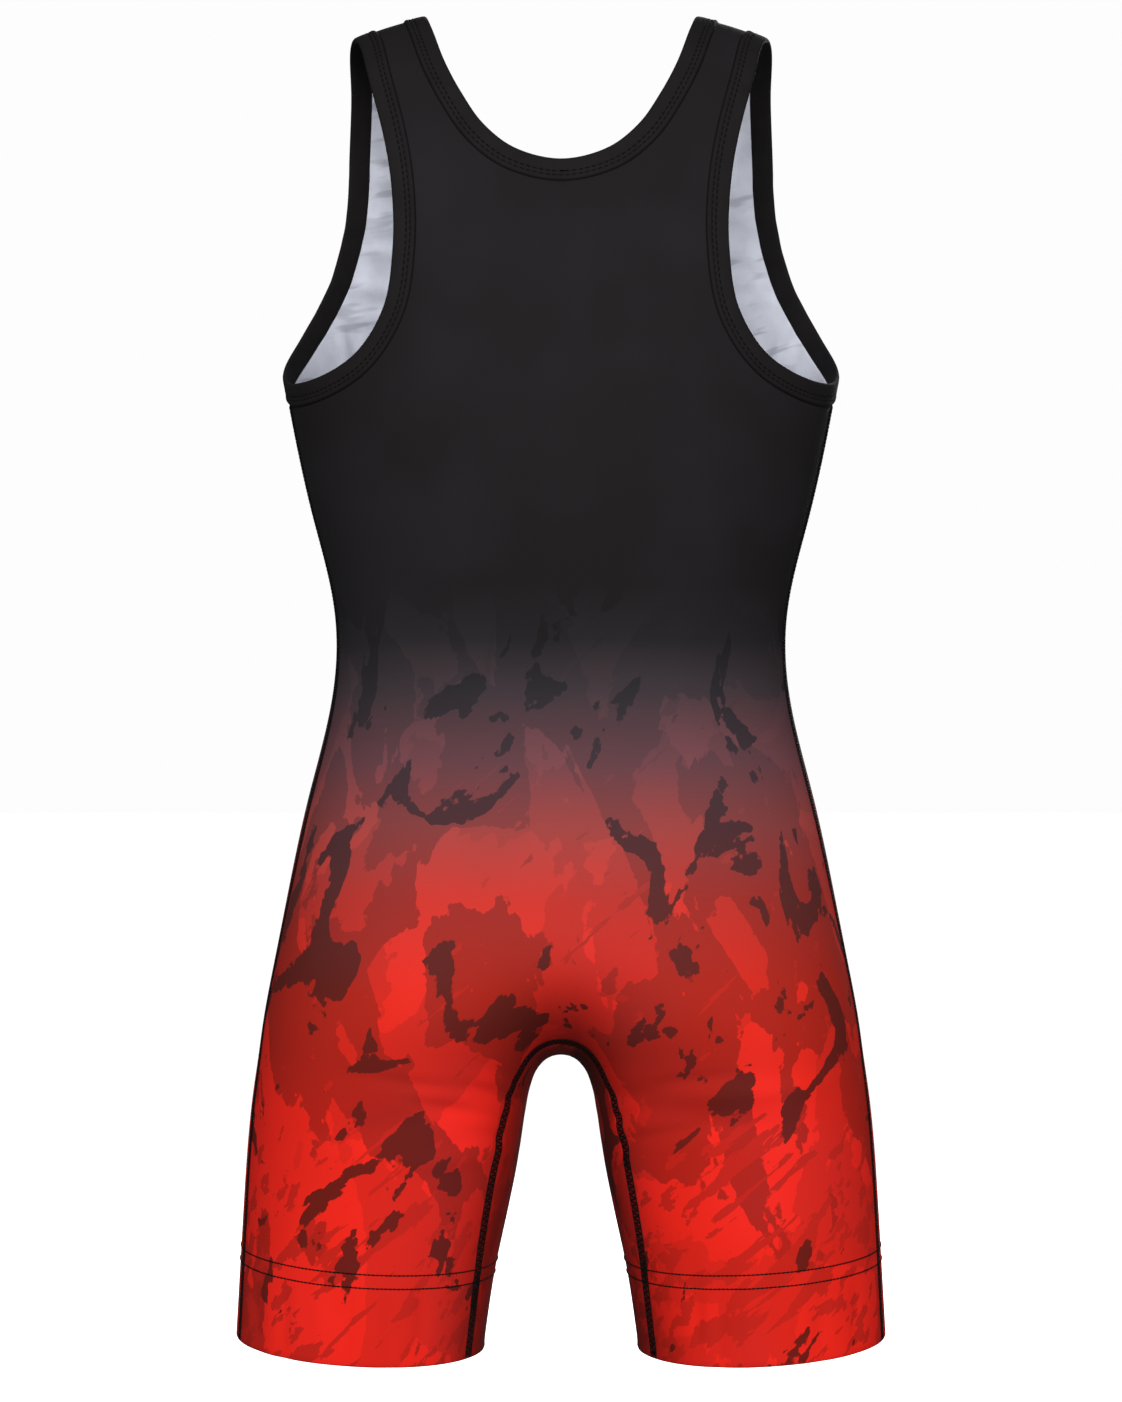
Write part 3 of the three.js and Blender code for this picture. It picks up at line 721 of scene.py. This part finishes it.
def stitch_row(line, size, lift, turns=(0.0,), give=1.0):
    """Where thread stitches lie at the points of a line: for each its centre and three half axes, in metres.
    size is a stitch's length, width and height, in millimetres, and turns are the angles from the line, in
    degrees, that the stitches take in order."""
    normal = normal_at(line)
    along = tangents(line, False)
    turn = np.radians(np.resize(turns, len(line)))[:, None]
    lie = along * np.cos(turn) + np.cross(normal, along) * np.sin(turn)
    ends = [raised(line + lie * size[0] * end, lift, give) for end in (-0.5, 0.5)]
    lie = unit(ends[1] - ends[0])
    across = unit(np.cross(normal, lie))
    axes = [axis * length * MM / 2 for axis, length in zip((lie, across, np.cross(lie, across)), size)]
    return np.stack([(ends[0] + ends[1]) / 2, *axes], axis=1)


def thread_mesh(*rows):
    """Every stitch of some rows as a small rounded bead of thread."""
    frames = np.concatenate(rows)
    bead = bpy.data.meshes.new("bead")
    bm = bmesh.new()
    bmesh.ops.create_uvsphere(bm, u_segments=6, v_segments=4, radius=1)
    bm.to_mesh(bead)
    round_points = np.array([vert.co[:] for vert in bm.verts])
    for _ in range(len(frames) - 1):
        bm.from_mesh(bead)
    places = frames[:, None, 0] + np.einsum("vk,nkc->nvc", round_points, frames[:, 1:])
    for vert, place in zip(bm.verts, places.reshape(-1, 3)):
        vert.co = place
    bmesh.ops.recalc_face_normals(bm, faces=bm.faces[:])
    bpy.data.meshes.remove(bead)
    return bm


# Colours and materials

def linear(colour):
    """An sRGB hex colour as linear RGBA."""
    channels = [int(colour[i : i + 2], 16) / 255 for i in (1, 3, 5)]
    return tuple(c / 12.92 if c <= 0.04045 else ((c + 0.055) / 1.055) ** 2.4 for c in channels) + (1.0,)


def add_node(tree, kind, inputs=None, stops=(), **settings):
    """Adds a node with its settings, its inputs as values or links, and a ramp's stops."""
    node = tree.nodes.new(kind)
    for name, value in settings.items():
        setattr(node, name, value)
    for key, value in (inputs or {}).items():
        if isinstance(value, bpy.types.NodeSocket):
            tree.links.new(value, node.inputs[key])
        else:
            node.inputs[key].default_value = value
    for i, (position, colour) in enumerate(stops):
        elements = node.color_ramp.elements
        element = elements[i] if i < 2 else elements.new(position)
        element.position, element.color = position, colour
    return node


def new_material(name):
    """An empty material, its node tree and its shader."""
    material = bpy.data.materials.new(name)
    material.use_nodes = True
    return material, material.node_tree, material.node_tree.nodes["Principled BSDF"]


def drawn_out(tree, place, size, detail, roughness, stretch, lean, distortion, start=(0, 0, 0)):
    """A pattern of noise, of a size in millimetres, drawn out along each axis and leaning by some degrees."""
    laid = add_node(
        tree, "ShaderNodeMapping",
        {"Vector": place, "Rotation": (0, math.radians(lean), 0), "Scale": stretch, "Location": start},
        vector_type="TEXTURE",
    ).outputs[0]
    settings = {"Scale": 1 / (size * MM), "Detail": detail, "Roughness": roughness, "Distortion": distortion}
    return add_node(tree, "ShaderNodeTexNoise", {"Vector": laid, **settings}).outputs["Fac"]


def mottled(tree, place, size, detail, colour, share, low, high):
    """A colour that falls to a darker share of itself by a pattern of noise, of a size in millimetres."""
    settings = {"Vector": place, "Scale": 1 / (size * MM), "Detail": detail}
    noise = add_node(tree, "ShaderNodeTexNoise", settings)
    darker = tuple(c * share for c in colour[:3]) + (1.0,)
    stops = (low, darker), (high, tuple(colour[:3]) + (1.0,))
    return add_node(tree, "ShaderNodeValToRGB", {0: noise.outputs["Fac"]}, stops=stops).outputs["Color"]


# Colours of the print from the shoulders to the hems, as (height in millimetres, ground, brush, blot).
PRINT_TONES = (
    (-388, "#1a1819", "#1a1819", "#1a1819"),
    (-424, "#262326", "#201e20", "#1a1819"),
    (-457, "#413438", "#362e32", "#272427"),
    (-504, "#6f4045", "#58383d", "#382c31"),
    (-547, "#a0403c", "#7a3736", "#45292c"),
    (-592, "#c2332b", "#8d2a25", "#522523"),
    (-650, "#da281d", "#9d2218", "#5a1d18"),
    (-730, "#e62419", "#a41d14", "#621812"),
    (-900, "#e42217", "#a21c13", "#631710"),
)
PRINT_FOOT = -920.0

# The print's patterns: size in millimetres, detail, roughness, stretch, lean in degrees, distortion, start.
PRINT_PATTERNS = {
    "torn": (7, 3, 0.55, (1, 1, 1.4), 30, 0),
    "cloud": (110, 2, 0.5, (1, 1, 1), 0, 0),
    "wash": (84, 4, 0.48, (1, 1, 1.8), 16, 0.9, (0.9, 0.2, 0.6)),
    "brush": (70, 4.5, 0.47, (1, 1, 2), -16, 1.1),
    "streak": (12, 4, 0.55, (1, 1, 7.5), 50, 0.2, (0.4, 0.1, 0)),
    "blot": (54, 4.5, 0.47, (1, 1, 1.8), 32, 1.2, (0.7, 0.3, 0.2)),
}

# Its layers from the ground up: the pattern, from where to where in it the layer grows to its full colour,
# how torn the edge is, how much rarer it is on the legs, and the share of the brush's or blot's colour.
PRINT_LAYERS = (
    ("cloud", 0.66, 0.34, 0, 0, 0.3),
    ("wash", 0.53, 0.536, 0.08, 0, 0.5),
    ("brush", 0.515, 0.521, 0.1, 0.105, 1),
    ("streak", 0.67, 0.676, 0.02, -0.13, 0.8),
    ("blot", 0.607, 0.613, 0.09, 0.026, 1),
)


def print_colour(tree, place, shift):
    """The colour of the print: torn layers whose tones change from the shoulders to the hems."""
    height = add_node(tree, "ShaderNodeSeparateXYZ", {0: place}).outputs["Z"]
    level = add_node(
        tree, "ShaderNodeMapRange", {"Value": height, "From Min": PRINT_FOOT * MM, "From Max": 0.0}
    ).outputs[0]
    tones = []
    for tone in (1, 2, 3):
        stops = sorted((1 - row[0] / PRINT_FOOT, linear(row[tone])) for row in PRINT_TONES)
        tones.append(add_node(tree, "ShaderNodeValToRGB", {0: level}, stops=stops).outputs["Color"])
    ground, brush, blot = tones

    shifted = add_node(tree, "ShaderNodeVectorMath", {0: place, 1: shift}, operation="ADD").outputs[0]
    patterns = {name: drawn_out(tree, shifted, *row) for name, row in PRINT_PATTERNS.items()}
    patterns["blot"] = add_node(
        tree, "ShaderNodeMix", {0: 0.35, 2: patterns["blot"], 3: patterns["brush"]}
    ).outputs[0]
    on_legs = add_node(
        tree, "ShaderNodeMapRange", {"Value": height, "From Min": -0.71, "From Max": -0.8}
    ).outputs[0]

    colour = ground
    for name, low, high, torn, rarer, share in PRINT_LAYERS:
        edge = {0: patterns["torn"], 1: torn, 2: patterns[name]}
        edge = add_node(tree, "ShaderNodeMath", edge, operation="MULTIPLY_ADD").outputs[0]
        edge = add_node(
            tree, "ShaderNodeMath", {0: on_legs, 1: -rarer, 2: edge}, operation="MULTIPLY_ADD"
        ).outputs[0]
        cover = add_node(
            tree, "ShaderNodeMapRange", {"Value": edge, "From Min": low, "From Max": high}
        ).outputs[0]
        tone = {0: share, 6: ground, 7: blot if name == "blot" else brush}
        tone = add_node(tree, "ShaderNodeMix", tone, data_type="RGBA").outputs[2]
        colour = add_node(tree, "ShaderNodeMix", {0: cover, 6: colour, 7: tone}, data_type="RGBA").outputs[2]
    faded = add_node(
        tree, "ShaderNodeMapRange",
        {"Value": patterns["cloud"], "From Min": 0.45, "From Max": 0.64, "To Max": 0.07},
    ).outputs[0]
    return add_node(
        tree, "ShaderNodeMix", {0: faded, 6: colour, 7: linear("#3e3c44")}, data_type="RGBA"
    ).outputs[2]


def shade_between_legs(tree, place):
    """Painted shade between the legs, as far as the inner leg seam: how far the print is darkened there."""
    axes = add_node(tree, "ShaderNodeSeparateXYZ", {0: place}).outputs
    aside = add_node(tree, "ShaderNodeMath", {0: axes["X"]}, operation="ABSOLUTE").outputs[0]
    seam = add_node(
        tree, "ShaderNodeMapRange",
        {"Value": axes["Z"], "From Min": -0.69, "From Max": -0.9, "To Min": 0.018, "To Max": 0.062},
    ).outputs[0]
    past_seam = add_node(tree, "ShaderNodeMath", {0: aside, 1: seam}, operation="SUBTRACT").outputs[0]
    inner = add_node(
        tree, "ShaderNodeMapRange", {"Value": past_seam, "From Min": 0.03, "From Max": -0.008}
    ).outputs[0]
    below = add_node(
        tree, "ShaderNodeMapRange", {"Value": axes["Z"], "From Min": -0.62, "From Max": -0.7}
    ).outputs[0]
    dark = add_node(tree, "ShaderNodeMath", {0: inner, 1: below}, operation="MULTIPLY").outputs[0]
    return add_node(tree, "ShaderNodeMath", {0: dark, 1: 1.8}, operation="POWER").outputs[0]


def printed_knit(shift, strength=1.0):
    """Sublimation-printed polyester and elastane knit: matt, with a soft sheen on its fine ribs. Less
    strength darkens it, as under the threads of a flatlock seam."""
    name = "Printed stretch knit with painted shade" if strength == 1 else "Knit under flatlock threads with painted shade"
    material, tree, shader = new_material(name)
    place = add_node(tree, "ShaderNodeTexCoord").outputs["Object"]
    colour = print_colour(tree, place, shift)
    # Painted shade: between the legs the print is darkened towards a deep maroon.
    dark = add_node(
        tree, "ShaderNodeMix", {0: 0.8, 6: colour, 7: linear("#2a0b09")}, data_type="RGBA"
    ).outputs[2]
    colour = add_node(
        tree, "ShaderNodeMix", {0: shade_between_legs(tree, place), 6: colour, 7: dark}, data_type="RGBA"
    ).outputs[2]
    if strength < 1:
        black = {0: 1 - strength, 6: colour, 7: (0.003, 0.003, 0.003, 1)}
        colour = add_node(tree, "ShaderNodeMix", black, data_type="RGBA").outputs[2]
    tree.links.new(colour, shader.inputs["Base Color"])
    finish_knit(tree, shader)
    return material


RIB_STEP = 1.4


def finish_knit(tree, shader, strength=0.12):
    """Ribs of fine knit along the piece's UV map, really 0.45 mm apart and drawn wider so that they show."""
    along = add_node(tree, "ShaderNodeUVMap", uv_map="Cloth").outputs[0]
    wave = {"Scale": 1 / RIB_STEP / 20 * 2 * math.pi, "Distortion": 1.2, "Detail": 2.0}
    ribs = add_node(
        tree, "ShaderNodeTexWave", {"Vector": along, **wave}, bands_direction="X"
    ).outputs["Fac"]
    pile = add_node(tree, "ShaderNodeTexNoise", {"Vector": along, "Scale": 0.9, "Detail": 3.0}).outputs["Fac"]
    relief = add_node(tree, "ShaderNodeMath", {0: ribs, 1: pile}, operation="ADD").outputs[0]
    bump = add_node(tree, "ShaderNodeBump", {"Height": relief, "Strength": strength, "Distance": 0.2 * MM})
    tree.links.new(bump.outputs[0], shader.inputs["Normal"])
    roughness = add_node(
        tree, "ShaderNodeMapRange", {"Value": pile, "To Min": 0.72, "To Max": 0.9}
    ).outputs[0]
    tree.links.new(roughness, shader.inputs["Roughness"])
    shader.inputs["Specular IOR Level"].default_value = 0.06


def plain_knit(name, colour, strength=0.15, crease_shade=0.0):
    """Dyed or undyed knit of one colour, with its ribs and a faint unevenness of the yarn. Where asked for,
    painted shadows of fine creases lie across it, and painted shade darkens it low down, where less
    light comes in."""
    material, tree, shader = new_material(name)
    place = add_node(tree, "ShaderNodeTexCoord").outputs["Object"]
    shade = mottled(tree, place, 18, 4.0, colour, 0.86, 0.35, 0.65)
    if crease_shade:
        # Painted shade: thin dark lines as shadows of fine creases, and shade that deepens low down inside.
        crease_shadow_lines = drawn_out(tree, place, 9, 2, 0.5, (5, 5, 1), -11.46, 0.3)
        height = add_node(tree, "ShaderNodeSeparateXYZ", {0: place}).outputs["Z"]
        shadows = (
            (crease_shadow_lines, 0.46, 0.3, crease_shade, (0.3, 0.31, 0.36, 1)),
            (height, -0.16, -0.28, 0.42, (0.24, 0.25, 0.29, 1)),
        )
        for value, low, high, depth, dark in shadows:
            shadow = add_node(
                tree, "ShaderNodeMapRange",
                {"Value": value, "From Min": low, "From Max": high, "To Max": depth},
                interpolation_type="SMOOTHSTEP",
            ).outputs[0]
            shade = add_node(
                tree, "ShaderNodeMix", {0: shadow, 6: shade, 7: dark}, data_type="RGBA"
            ).outputs[2]
    tree.links.new(shade, shader.inputs["Base Color"])
    finish_knit(tree, shader, strength)
    return material


def sewing_thread(name, colour):
    """Spun polyester thread, with a slight gloss along its twist."""
    material, tree, shader = new_material(name)
    place = add_node(tree, "ShaderNodeTexCoord").outputs["Object"]
    shade = mottled(tree, place, 0.8, 2.0, colour, 0.7, 0.3, 0.7)
    tree.links.new(shade, shader.inputs["Base Color"])
    shader.inputs["Roughness"].default_value = 0.75
    shader.inputs["Specular IOR Level"].default_value = 0.12
    return material


# Sizes and colours that can be changed in the sidebar

class SingletCloth(bpy.types.PropertyGroup):
    """Sizes of the cloth and its sewing."""

    thickness: FloatProperty(
        name="Cloth thickness", description="Thickness of the knit", default=1.0 * MM, unit="LENGTH"
    )
    fold: FloatProperty(
        name="Hem fold", description="Radius of the turned hem's fold", default=0.95 * MM, unit="LENGTH"
    )
    stitch: FloatProperty(
        name="Stitch length", description="Length of one thread stitch", default=3.2 * MM, unit="LENGTH"
    )
    thread: FloatProperty(
        name="Thread width", description="Width of the sewing thread", default=1.1 * MM, unit="LENGTH"
    )


class SingletColours(bpy.types.PropertyGroup):
    """Colours of the plain materials."""

    lining: FloatVectorProperty(
        name="Inside", description="Unprinted inside of the knit", subtype="COLOR", size=4,
        default=linear("#dadde8"),
    )
    binding: FloatVectorProperty(
        name="Bindings", description="Dyed knit of the bindings", subtype="COLOR", size=4,
        default=linear("#1a1819"),
    )
    thread: FloatVectorProperty(
        name="Thread", description="Sewing thread", subtype="COLOR", size=4, default=linear("#040303")
    )


# Pieces

# The node that each panel stands for, its place in the print, and the heights between which the two legs
# part.
PANEL_NODES = {"back": "back_panel", "front": "front_panel"}
PRINT_SHIFT = {"back": (0.0, 0.0, 0.0), "front": (3.1, 1.7, 0.4)}
LEGS_PART = (-690, -750)

# The node that each binding stands for.
BINDING_NODES = {
    "neck": "neck_binding",
    "armhole_right": "armhole_binding_right",
    "armhole_left": "armhole_binding_left",
}
THREAD = "Black spun polyester thread"


def across_panel(p):
    """Millimetres round a panel from the middle of its torso, or of its leg below the crotch."""
    x, y, z = p.T
    spread = leg_spread(z)
    leg = np.sign(x) * spread * np.clip((LEGS_PART[0] - z) / (LEGS_PART[0] - LEGS_PART[1]), 0, 1)
    return np.arctan2(x - leg, np.abs(y - axis_y(z))) * (LEVEL["half"](z) - spread)


def across_strip(p):
    return p[:, 0] + p[:, 1]


def lay_grain(piece, across):
    """Gives a piece its UV map: the cloth's grain in millimetres, across and along the length."""
    mesh = piece.data
    points = np.empty(len(mesh.vertices) * 3)
    mesh.vertices.foreach_get("co", points)
    points = points.reshape(-1, 3) / MM
    corners = np.empty(len(mesh.loops), dtype=int)
    mesh.loops.foreach_get("vertex_index", corners)
    grain = np.stack([across(points), points[:, 2]], axis=1)[corners]
    mesh.uv_layers.new(name="Cloth").data.foreach_set("uv", grain.ravel())


def binding_rings():
    """Free edge and seam edge of each binding."""
    return {
        "neck": (whole_ring(neck_free), whole_ring(neck_seam)),
        "armhole_right": (armhole_free, armhole_seam),
        "armhole_left": (mirrored(armhole_free), mirrored(armhole_seam)),
    }


def stitch_size(context):
    """Length, width and height of a stitch in millimetres."""
    sizes = context.scene.singlet_cloth
    return sizes.stitch / MM, sizes.thread / MM, 0.7


class SINGLET_OT_panels(bpy.types.Operator):
    """Makes the back and front panels as thin cloth with turned hems"""

    bl_idname = "singlet.panels"
    bl_label = "Panels"

    def execute(self, context):
        sizes, colours = context.scene.singlet_cloth, context.scene.singlet_colours
        # The inside carries painted crease shadows and painted shade low down.
        lining = plain_knit("Undyed inside of the knit with painted shade", colours.lining, crease_shade=0.55)
        for face, half in PANELS.items():
            bm = panel_mesh(half, sizes.fold / MM)
            materials = printed_knit(PRINT_SHIFT[face]), lining
            piece = new_piece(f"{face}_panel_cloth", bm, materials)
            lay_grain(piece, across_panel)
            wall = piece.modifiers.new("Cloth thickness", "SOLIDIFY")
            wall.thickness = sizes.thickness
            wall.offset = 0
            wall.material_offset = 1
            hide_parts(PANEL_NODES[face])
        return {"FINISHED"}


class SINGLET_OT_bindings(bpy.types.Operator):
    """Makes the folded tapes round the neck and armholes"""

    bl_idname = "singlet.bindings"
    bl_label = "Bindings"

    def execute(self, context):
        tape = plain_knit("Black dyed binding knit", context.scene.singlet_colours.binding)
        for name, (free, seam) in binding_rings().items():
            node = BINDING_NODES[name]
            count = round(reach_along(free)[-1] / BINDING_STEP)
            rails = resample(free, count, seam), resample(free, count)
            bm = swept_band(*rails, BINDING_SECTION, True, BINDING_GIVE)
            piece = new_piece(f"{node}_tape", bm, (tape,))
            lay_grain(piece, across_strip)
            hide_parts(node)
        return {"FINISHED"}


def eased(line, spread=7):
    """A line whose small bends are evened out over a few of its points, and whose arches stay."""
    reach = np.arange(-3 * spread, 3 * spread + 1)
    weights = np.exp(-(reach**2) / (2 * spread**2))
    weights /= weights.sum()

    def averaged(points):
        before = 2 * points[0] - points[3 * spread : 0 : -1]
        after = 2 * points[-1] - points[-2 : -3 * spread - 2 : -1]
        padded = np.vstack([before, points, after])
        return np.stack([np.convolve(padded[:, i], weights, "valid") for i in range(3)], axis=1)

    smooth = averaged(line)
    return settle(smooth + averaged(line - smooth))


def seam_lines():
    """The lines that are closed with flatlock: both sides, both inner legs in one, and both shoulders."""
    side = side_seam(HEM_Z + HEM_TILT, underarm[2])
    legs = eased(evenly(join_runs(inseam, mirrored(inseam)[::-1]), FLATLOCK_STEP))
    share = np.linspace(0, 1, 61)[:, None]
    shoulder = settle(neck_seam[neck_shoulder] * (1 - share) + armhole_seam[arm_shoulder] * share)
    return {
        "side_seam_right": side,
        "side_seam_left": mirrored(side),
        "inner_leg_seam": legs,
        "shoulder_seam_right": shoulder,
        "shoulder_seam_left": mirrored(shoulder),
    }


class SINGLET_OT_seams(bpy.types.Operator):
    """Makes the flatlock seams and their threads"""

    bl_idname = "singlet.seams"
    bl_label = "Flatlock seams"

    def execute(self, context):
        colours = context.scene.singlet_colours
        thread = sewing_thread(THREAD, colours.thread)
        covers = printed_knit(PRINT_SHIFT["back"], 0.3), plain_knit("Flatlock cover inside", colours.lining)
        inside = [(across, -lift) for across, lift in FLATLOCK_SECTION]
        sides = (
            ("outside", FLATLOCK_SECTION, FLATLOCK_LIFT, covers[0]),
            ("inside", inside, -FLATLOCK_LIFT, covers[1]),
        )
        for name, line in seam_lines().items():
            line = evenly(line, FLATLOCK_STEP)
            width = FLATLOCK_WIDTH[name.split("_")[0]]
            edges = beside(line, -width / 2), beside(line, width / 2)
            for place, section, lift, cover in sides:
                bm = swept_band(*edges, section, False)
                piece = new_piece(f"{name}_{place}", bm, (cover,))
                lay_grain(piece, across_strip)
                rows = [stitch_row(line[1:-1], (width - 0.4, *RUNG_SECTION), lift, RUNG_TURNS)]
                for edge in (-1, 1):
                    row = evenly(beside(line, edge * (width / 2 - 0.7)), EDGE_ROW_STEP)
                    rows.append(stitch_row(row[1:-1], stitch_size(context), lift))
                new_piece(f"{name}_{place}_thread", thread_mesh(*rows), (thread,))
        return {"FINISHED"}


def hem_parallel(half, height):
    """A line across a leg of a panel, at a height above the hem's edge."""
    rise = np.cumsum(np.linalg.norm(np.diff(half.grid[: half.hem_rows * 2], axis=0), axis=2), axis=0)
    line = []
    for j in range(half.grid.shape[1]):
        reach = np.concatenate([[0], rise[:, j]])
        line.append([np.interp(height, reach, half.grid[: len(reach), j, axis]) for axis in range(3)])
    return settle(np.array(line))


class SINGLET_OT_hem_stitches(bpy.types.Operator):
    """Makes the two rows of stitching above each hem"""

    bl_idname = "singlet.hem_stitches"
    bl_label = "Hem stitching"

    def execute(self, context):
        rows = []
        for half in PANELS.values():
            for above_edge in HEM_ROWS:
                right = hem_parallel(half, above_edge)
                for line in (right, mirrored(right)):
                    rows.append(stitch_row(evenly(line, HEM_STEP), stitch_size(context), HEM_LIFT))
        new_piece("hem_stitches", thread_mesh(*rows), (bpy.data.materials[THREAD],))
        return {"FINISHED"}


class SINGLET_OT_binding_stitches(bpy.types.Operator):
    """Makes the rows of stitching along each binding, and a painted shadow line of dark thread at its seam"""

    bl_idname = "singlet.binding_stitches"
    bl_label = "Binding stitching and shadow line"

    def execute(self, context):
        size = stitch_size(context)
        for name, (free, seam) in binding_rings().items():
            rows = []
            # The last row is a painted shadow line: dark thread along the seam edge where binding meets
            # cloth.
            for share, lift, step in BINDING_ROWS:
                line = evenly(settle(free + (seam - free) * share), step)
                rows.append(stitch_row(line[:-1], size, lift, give=BINDING_GIVE))
            thread = bpy.data.materials[THREAD]
            new_piece(f"{name}_binding_stitches_and_shadow_line", thread_mesh(*rows), (thread,))
        return {"FINISHED"}


# Stage

CAMERA_PLACE = (0, -2.0, -0.464)
CAMERA_LENS = 75.7
FLOOR_DEPTH = 1.3
FLOOR_HALF = 20

# Name, place, point lit, side of the square and power of each light.
LIGHTS = (
    ("Key", (-0.45, -2.8, 0.9), (0, 0, -0.45), 1.1, 74),
    ("Fill", (0.7, -2.7, -0.5), (0, 0, -0.6), 1.1, 38),
    ("Rear", (0.6, 2.7, 0.6), (0, 0, -0.4), 1.8, 78),
)


def add_light(name, place, target, side, power):
    light = bpy.data.lights.new(name, "AREA")
    light.size = side
    light.energy = power
    lamp = bpy.data.objects.new(name, light)
    lamp.location = place
    lamp.rotation_euler = (Vector(target) - Vector(place)).to_track_quat("-Z", "Y").to_euler()
    bpy.context.scene.collection.objects.link(lamp)


def add_floor():
    """A wide pale floor that is seen and catches shadows, but throws no light on the garment."""
    bm = bmesh.new()
    place = Matrix.Translation((0, 0, -FLOOR_DEPTH))
    bmesh.ops.create_grid(bm, x_segments=4, y_segments=4, size=FLOOR_HALF, matrix=place)
    mesh = bpy.data.meshes.new("floor")
    bm.to_mesh(mesh)
    bm.free()
    floor = bpy.data.objects.new("floor", mesh)
    bpy.context.scene.collection.objects.link(floor)
    material, _, shader = new_material("Pale matt floor paint")
    settings = {
        "Base Color": (0.85, 0.85, 0.85, 1), "Roughness": 0.9, "Specular IOR Level": 0.1,
        "Emission Color": (1, 1, 1, 1), "Emission Strength": 0.85,
    }
    for name, value in settings.items():
        shader.inputs[name].default_value = value
    mesh.materials.append(material)
    floor.visible_diffuse = False
    floor.visible_glossy = False


class SINGLET_OT_stage(bpy.types.Operator):
    """Makes the camera, the pale floor, the lights and the white surroundings"""

    bl_idname = "singlet.stage"
    bl_label = "Stage"

    def execute(self, context):
        scene = context.scene
        data = bpy.data.cameras.new("Camera")
        data.lens = CAMERA_LENS
        data.sensor_width = 36
        camera = bpy.data.objects.new("Camera", data)
        camera.location = CAMERA_PLACE
        camera.rotation_euler = (math.radians(90), 0, 0)
        scene.collection.objects.link(camera)
        scene.camera = camera
        scene.view_settings.view_transform = "Standard"

        world = bpy.data.worlds.new("White surroundings")
        world.use_nodes = True
        scene.world = world
        tree = world.node_tree
        path = add_node(tree, "ShaderNodeLightPath").outputs["Is Camera Ray"]
        strength = add_node(
            tree, "ShaderNodeMapRange", {"Value": path, "To Min": 0.22, "To Max": 1.0}
        ).outputs[0]
        tree.links.new(strength, tree.nodes["Background"].inputs["Strength"])
        tree.nodes["Background"].inputs["Color"].default_value = linear("#fdfdfd")

        add_floor()
        for light in LIGHTS:
            add_light(*light)
        return {"FINISHED"}


class SINGLET_PT_panel(bpy.types.Panel):
    """Lists the parts of the singlet in the sidebar"""

    bl_idname = "SINGLET_PT_panel"
    bl_label = "Wrestling singlet"
    bl_space_type = "VIEW_3D"
    bl_region_type = "UI"
    bl_category = "Singlet"

    def draw(self, context):
        for group in (context.scene.singlet_cloth, context.scene.singlet_colours):
            for name in group.__annotations__:
                self.layout.prop(group, name)
        for operator in OPERATORS:
            self.layout.operator(operator.bl_idname)


OPERATORS = (
    SINGLET_OT_panels,
    SINGLET_OT_bindings,
    SINGLET_OT_seams,
    SINGLET_OT_hem_stitches,
    SINGLET_OT_binding_stitches,
    SINGLET_OT_stage,
)
CLASSES = (SingletCloth, SingletColours, *OPERATORS, SINGLET_PT_panel)


def register():
    for kind in CLASSES:
        bpy.utils.register_class(kind)
    bpy.types.Scene.singlet_cloth = PointerProperty(type=SingletCloth)
    bpy.types.Scene.singlet_colours = PointerProperty(type=SingletColours)


def unregister():
    del bpy.types.Scene.singlet_cloth, bpy.types.Scene.singlet_colours
    for kind in reversed(CLASSES):
        bpy.utils.unregister_class(kind)


def main():
    register()
    for operator in OPERATORS:
        group, name = operator.bl_idname.split(".")
        getattr(getattr(bpy.ops, group), name)()


if __name__ == "__main__":
    main()
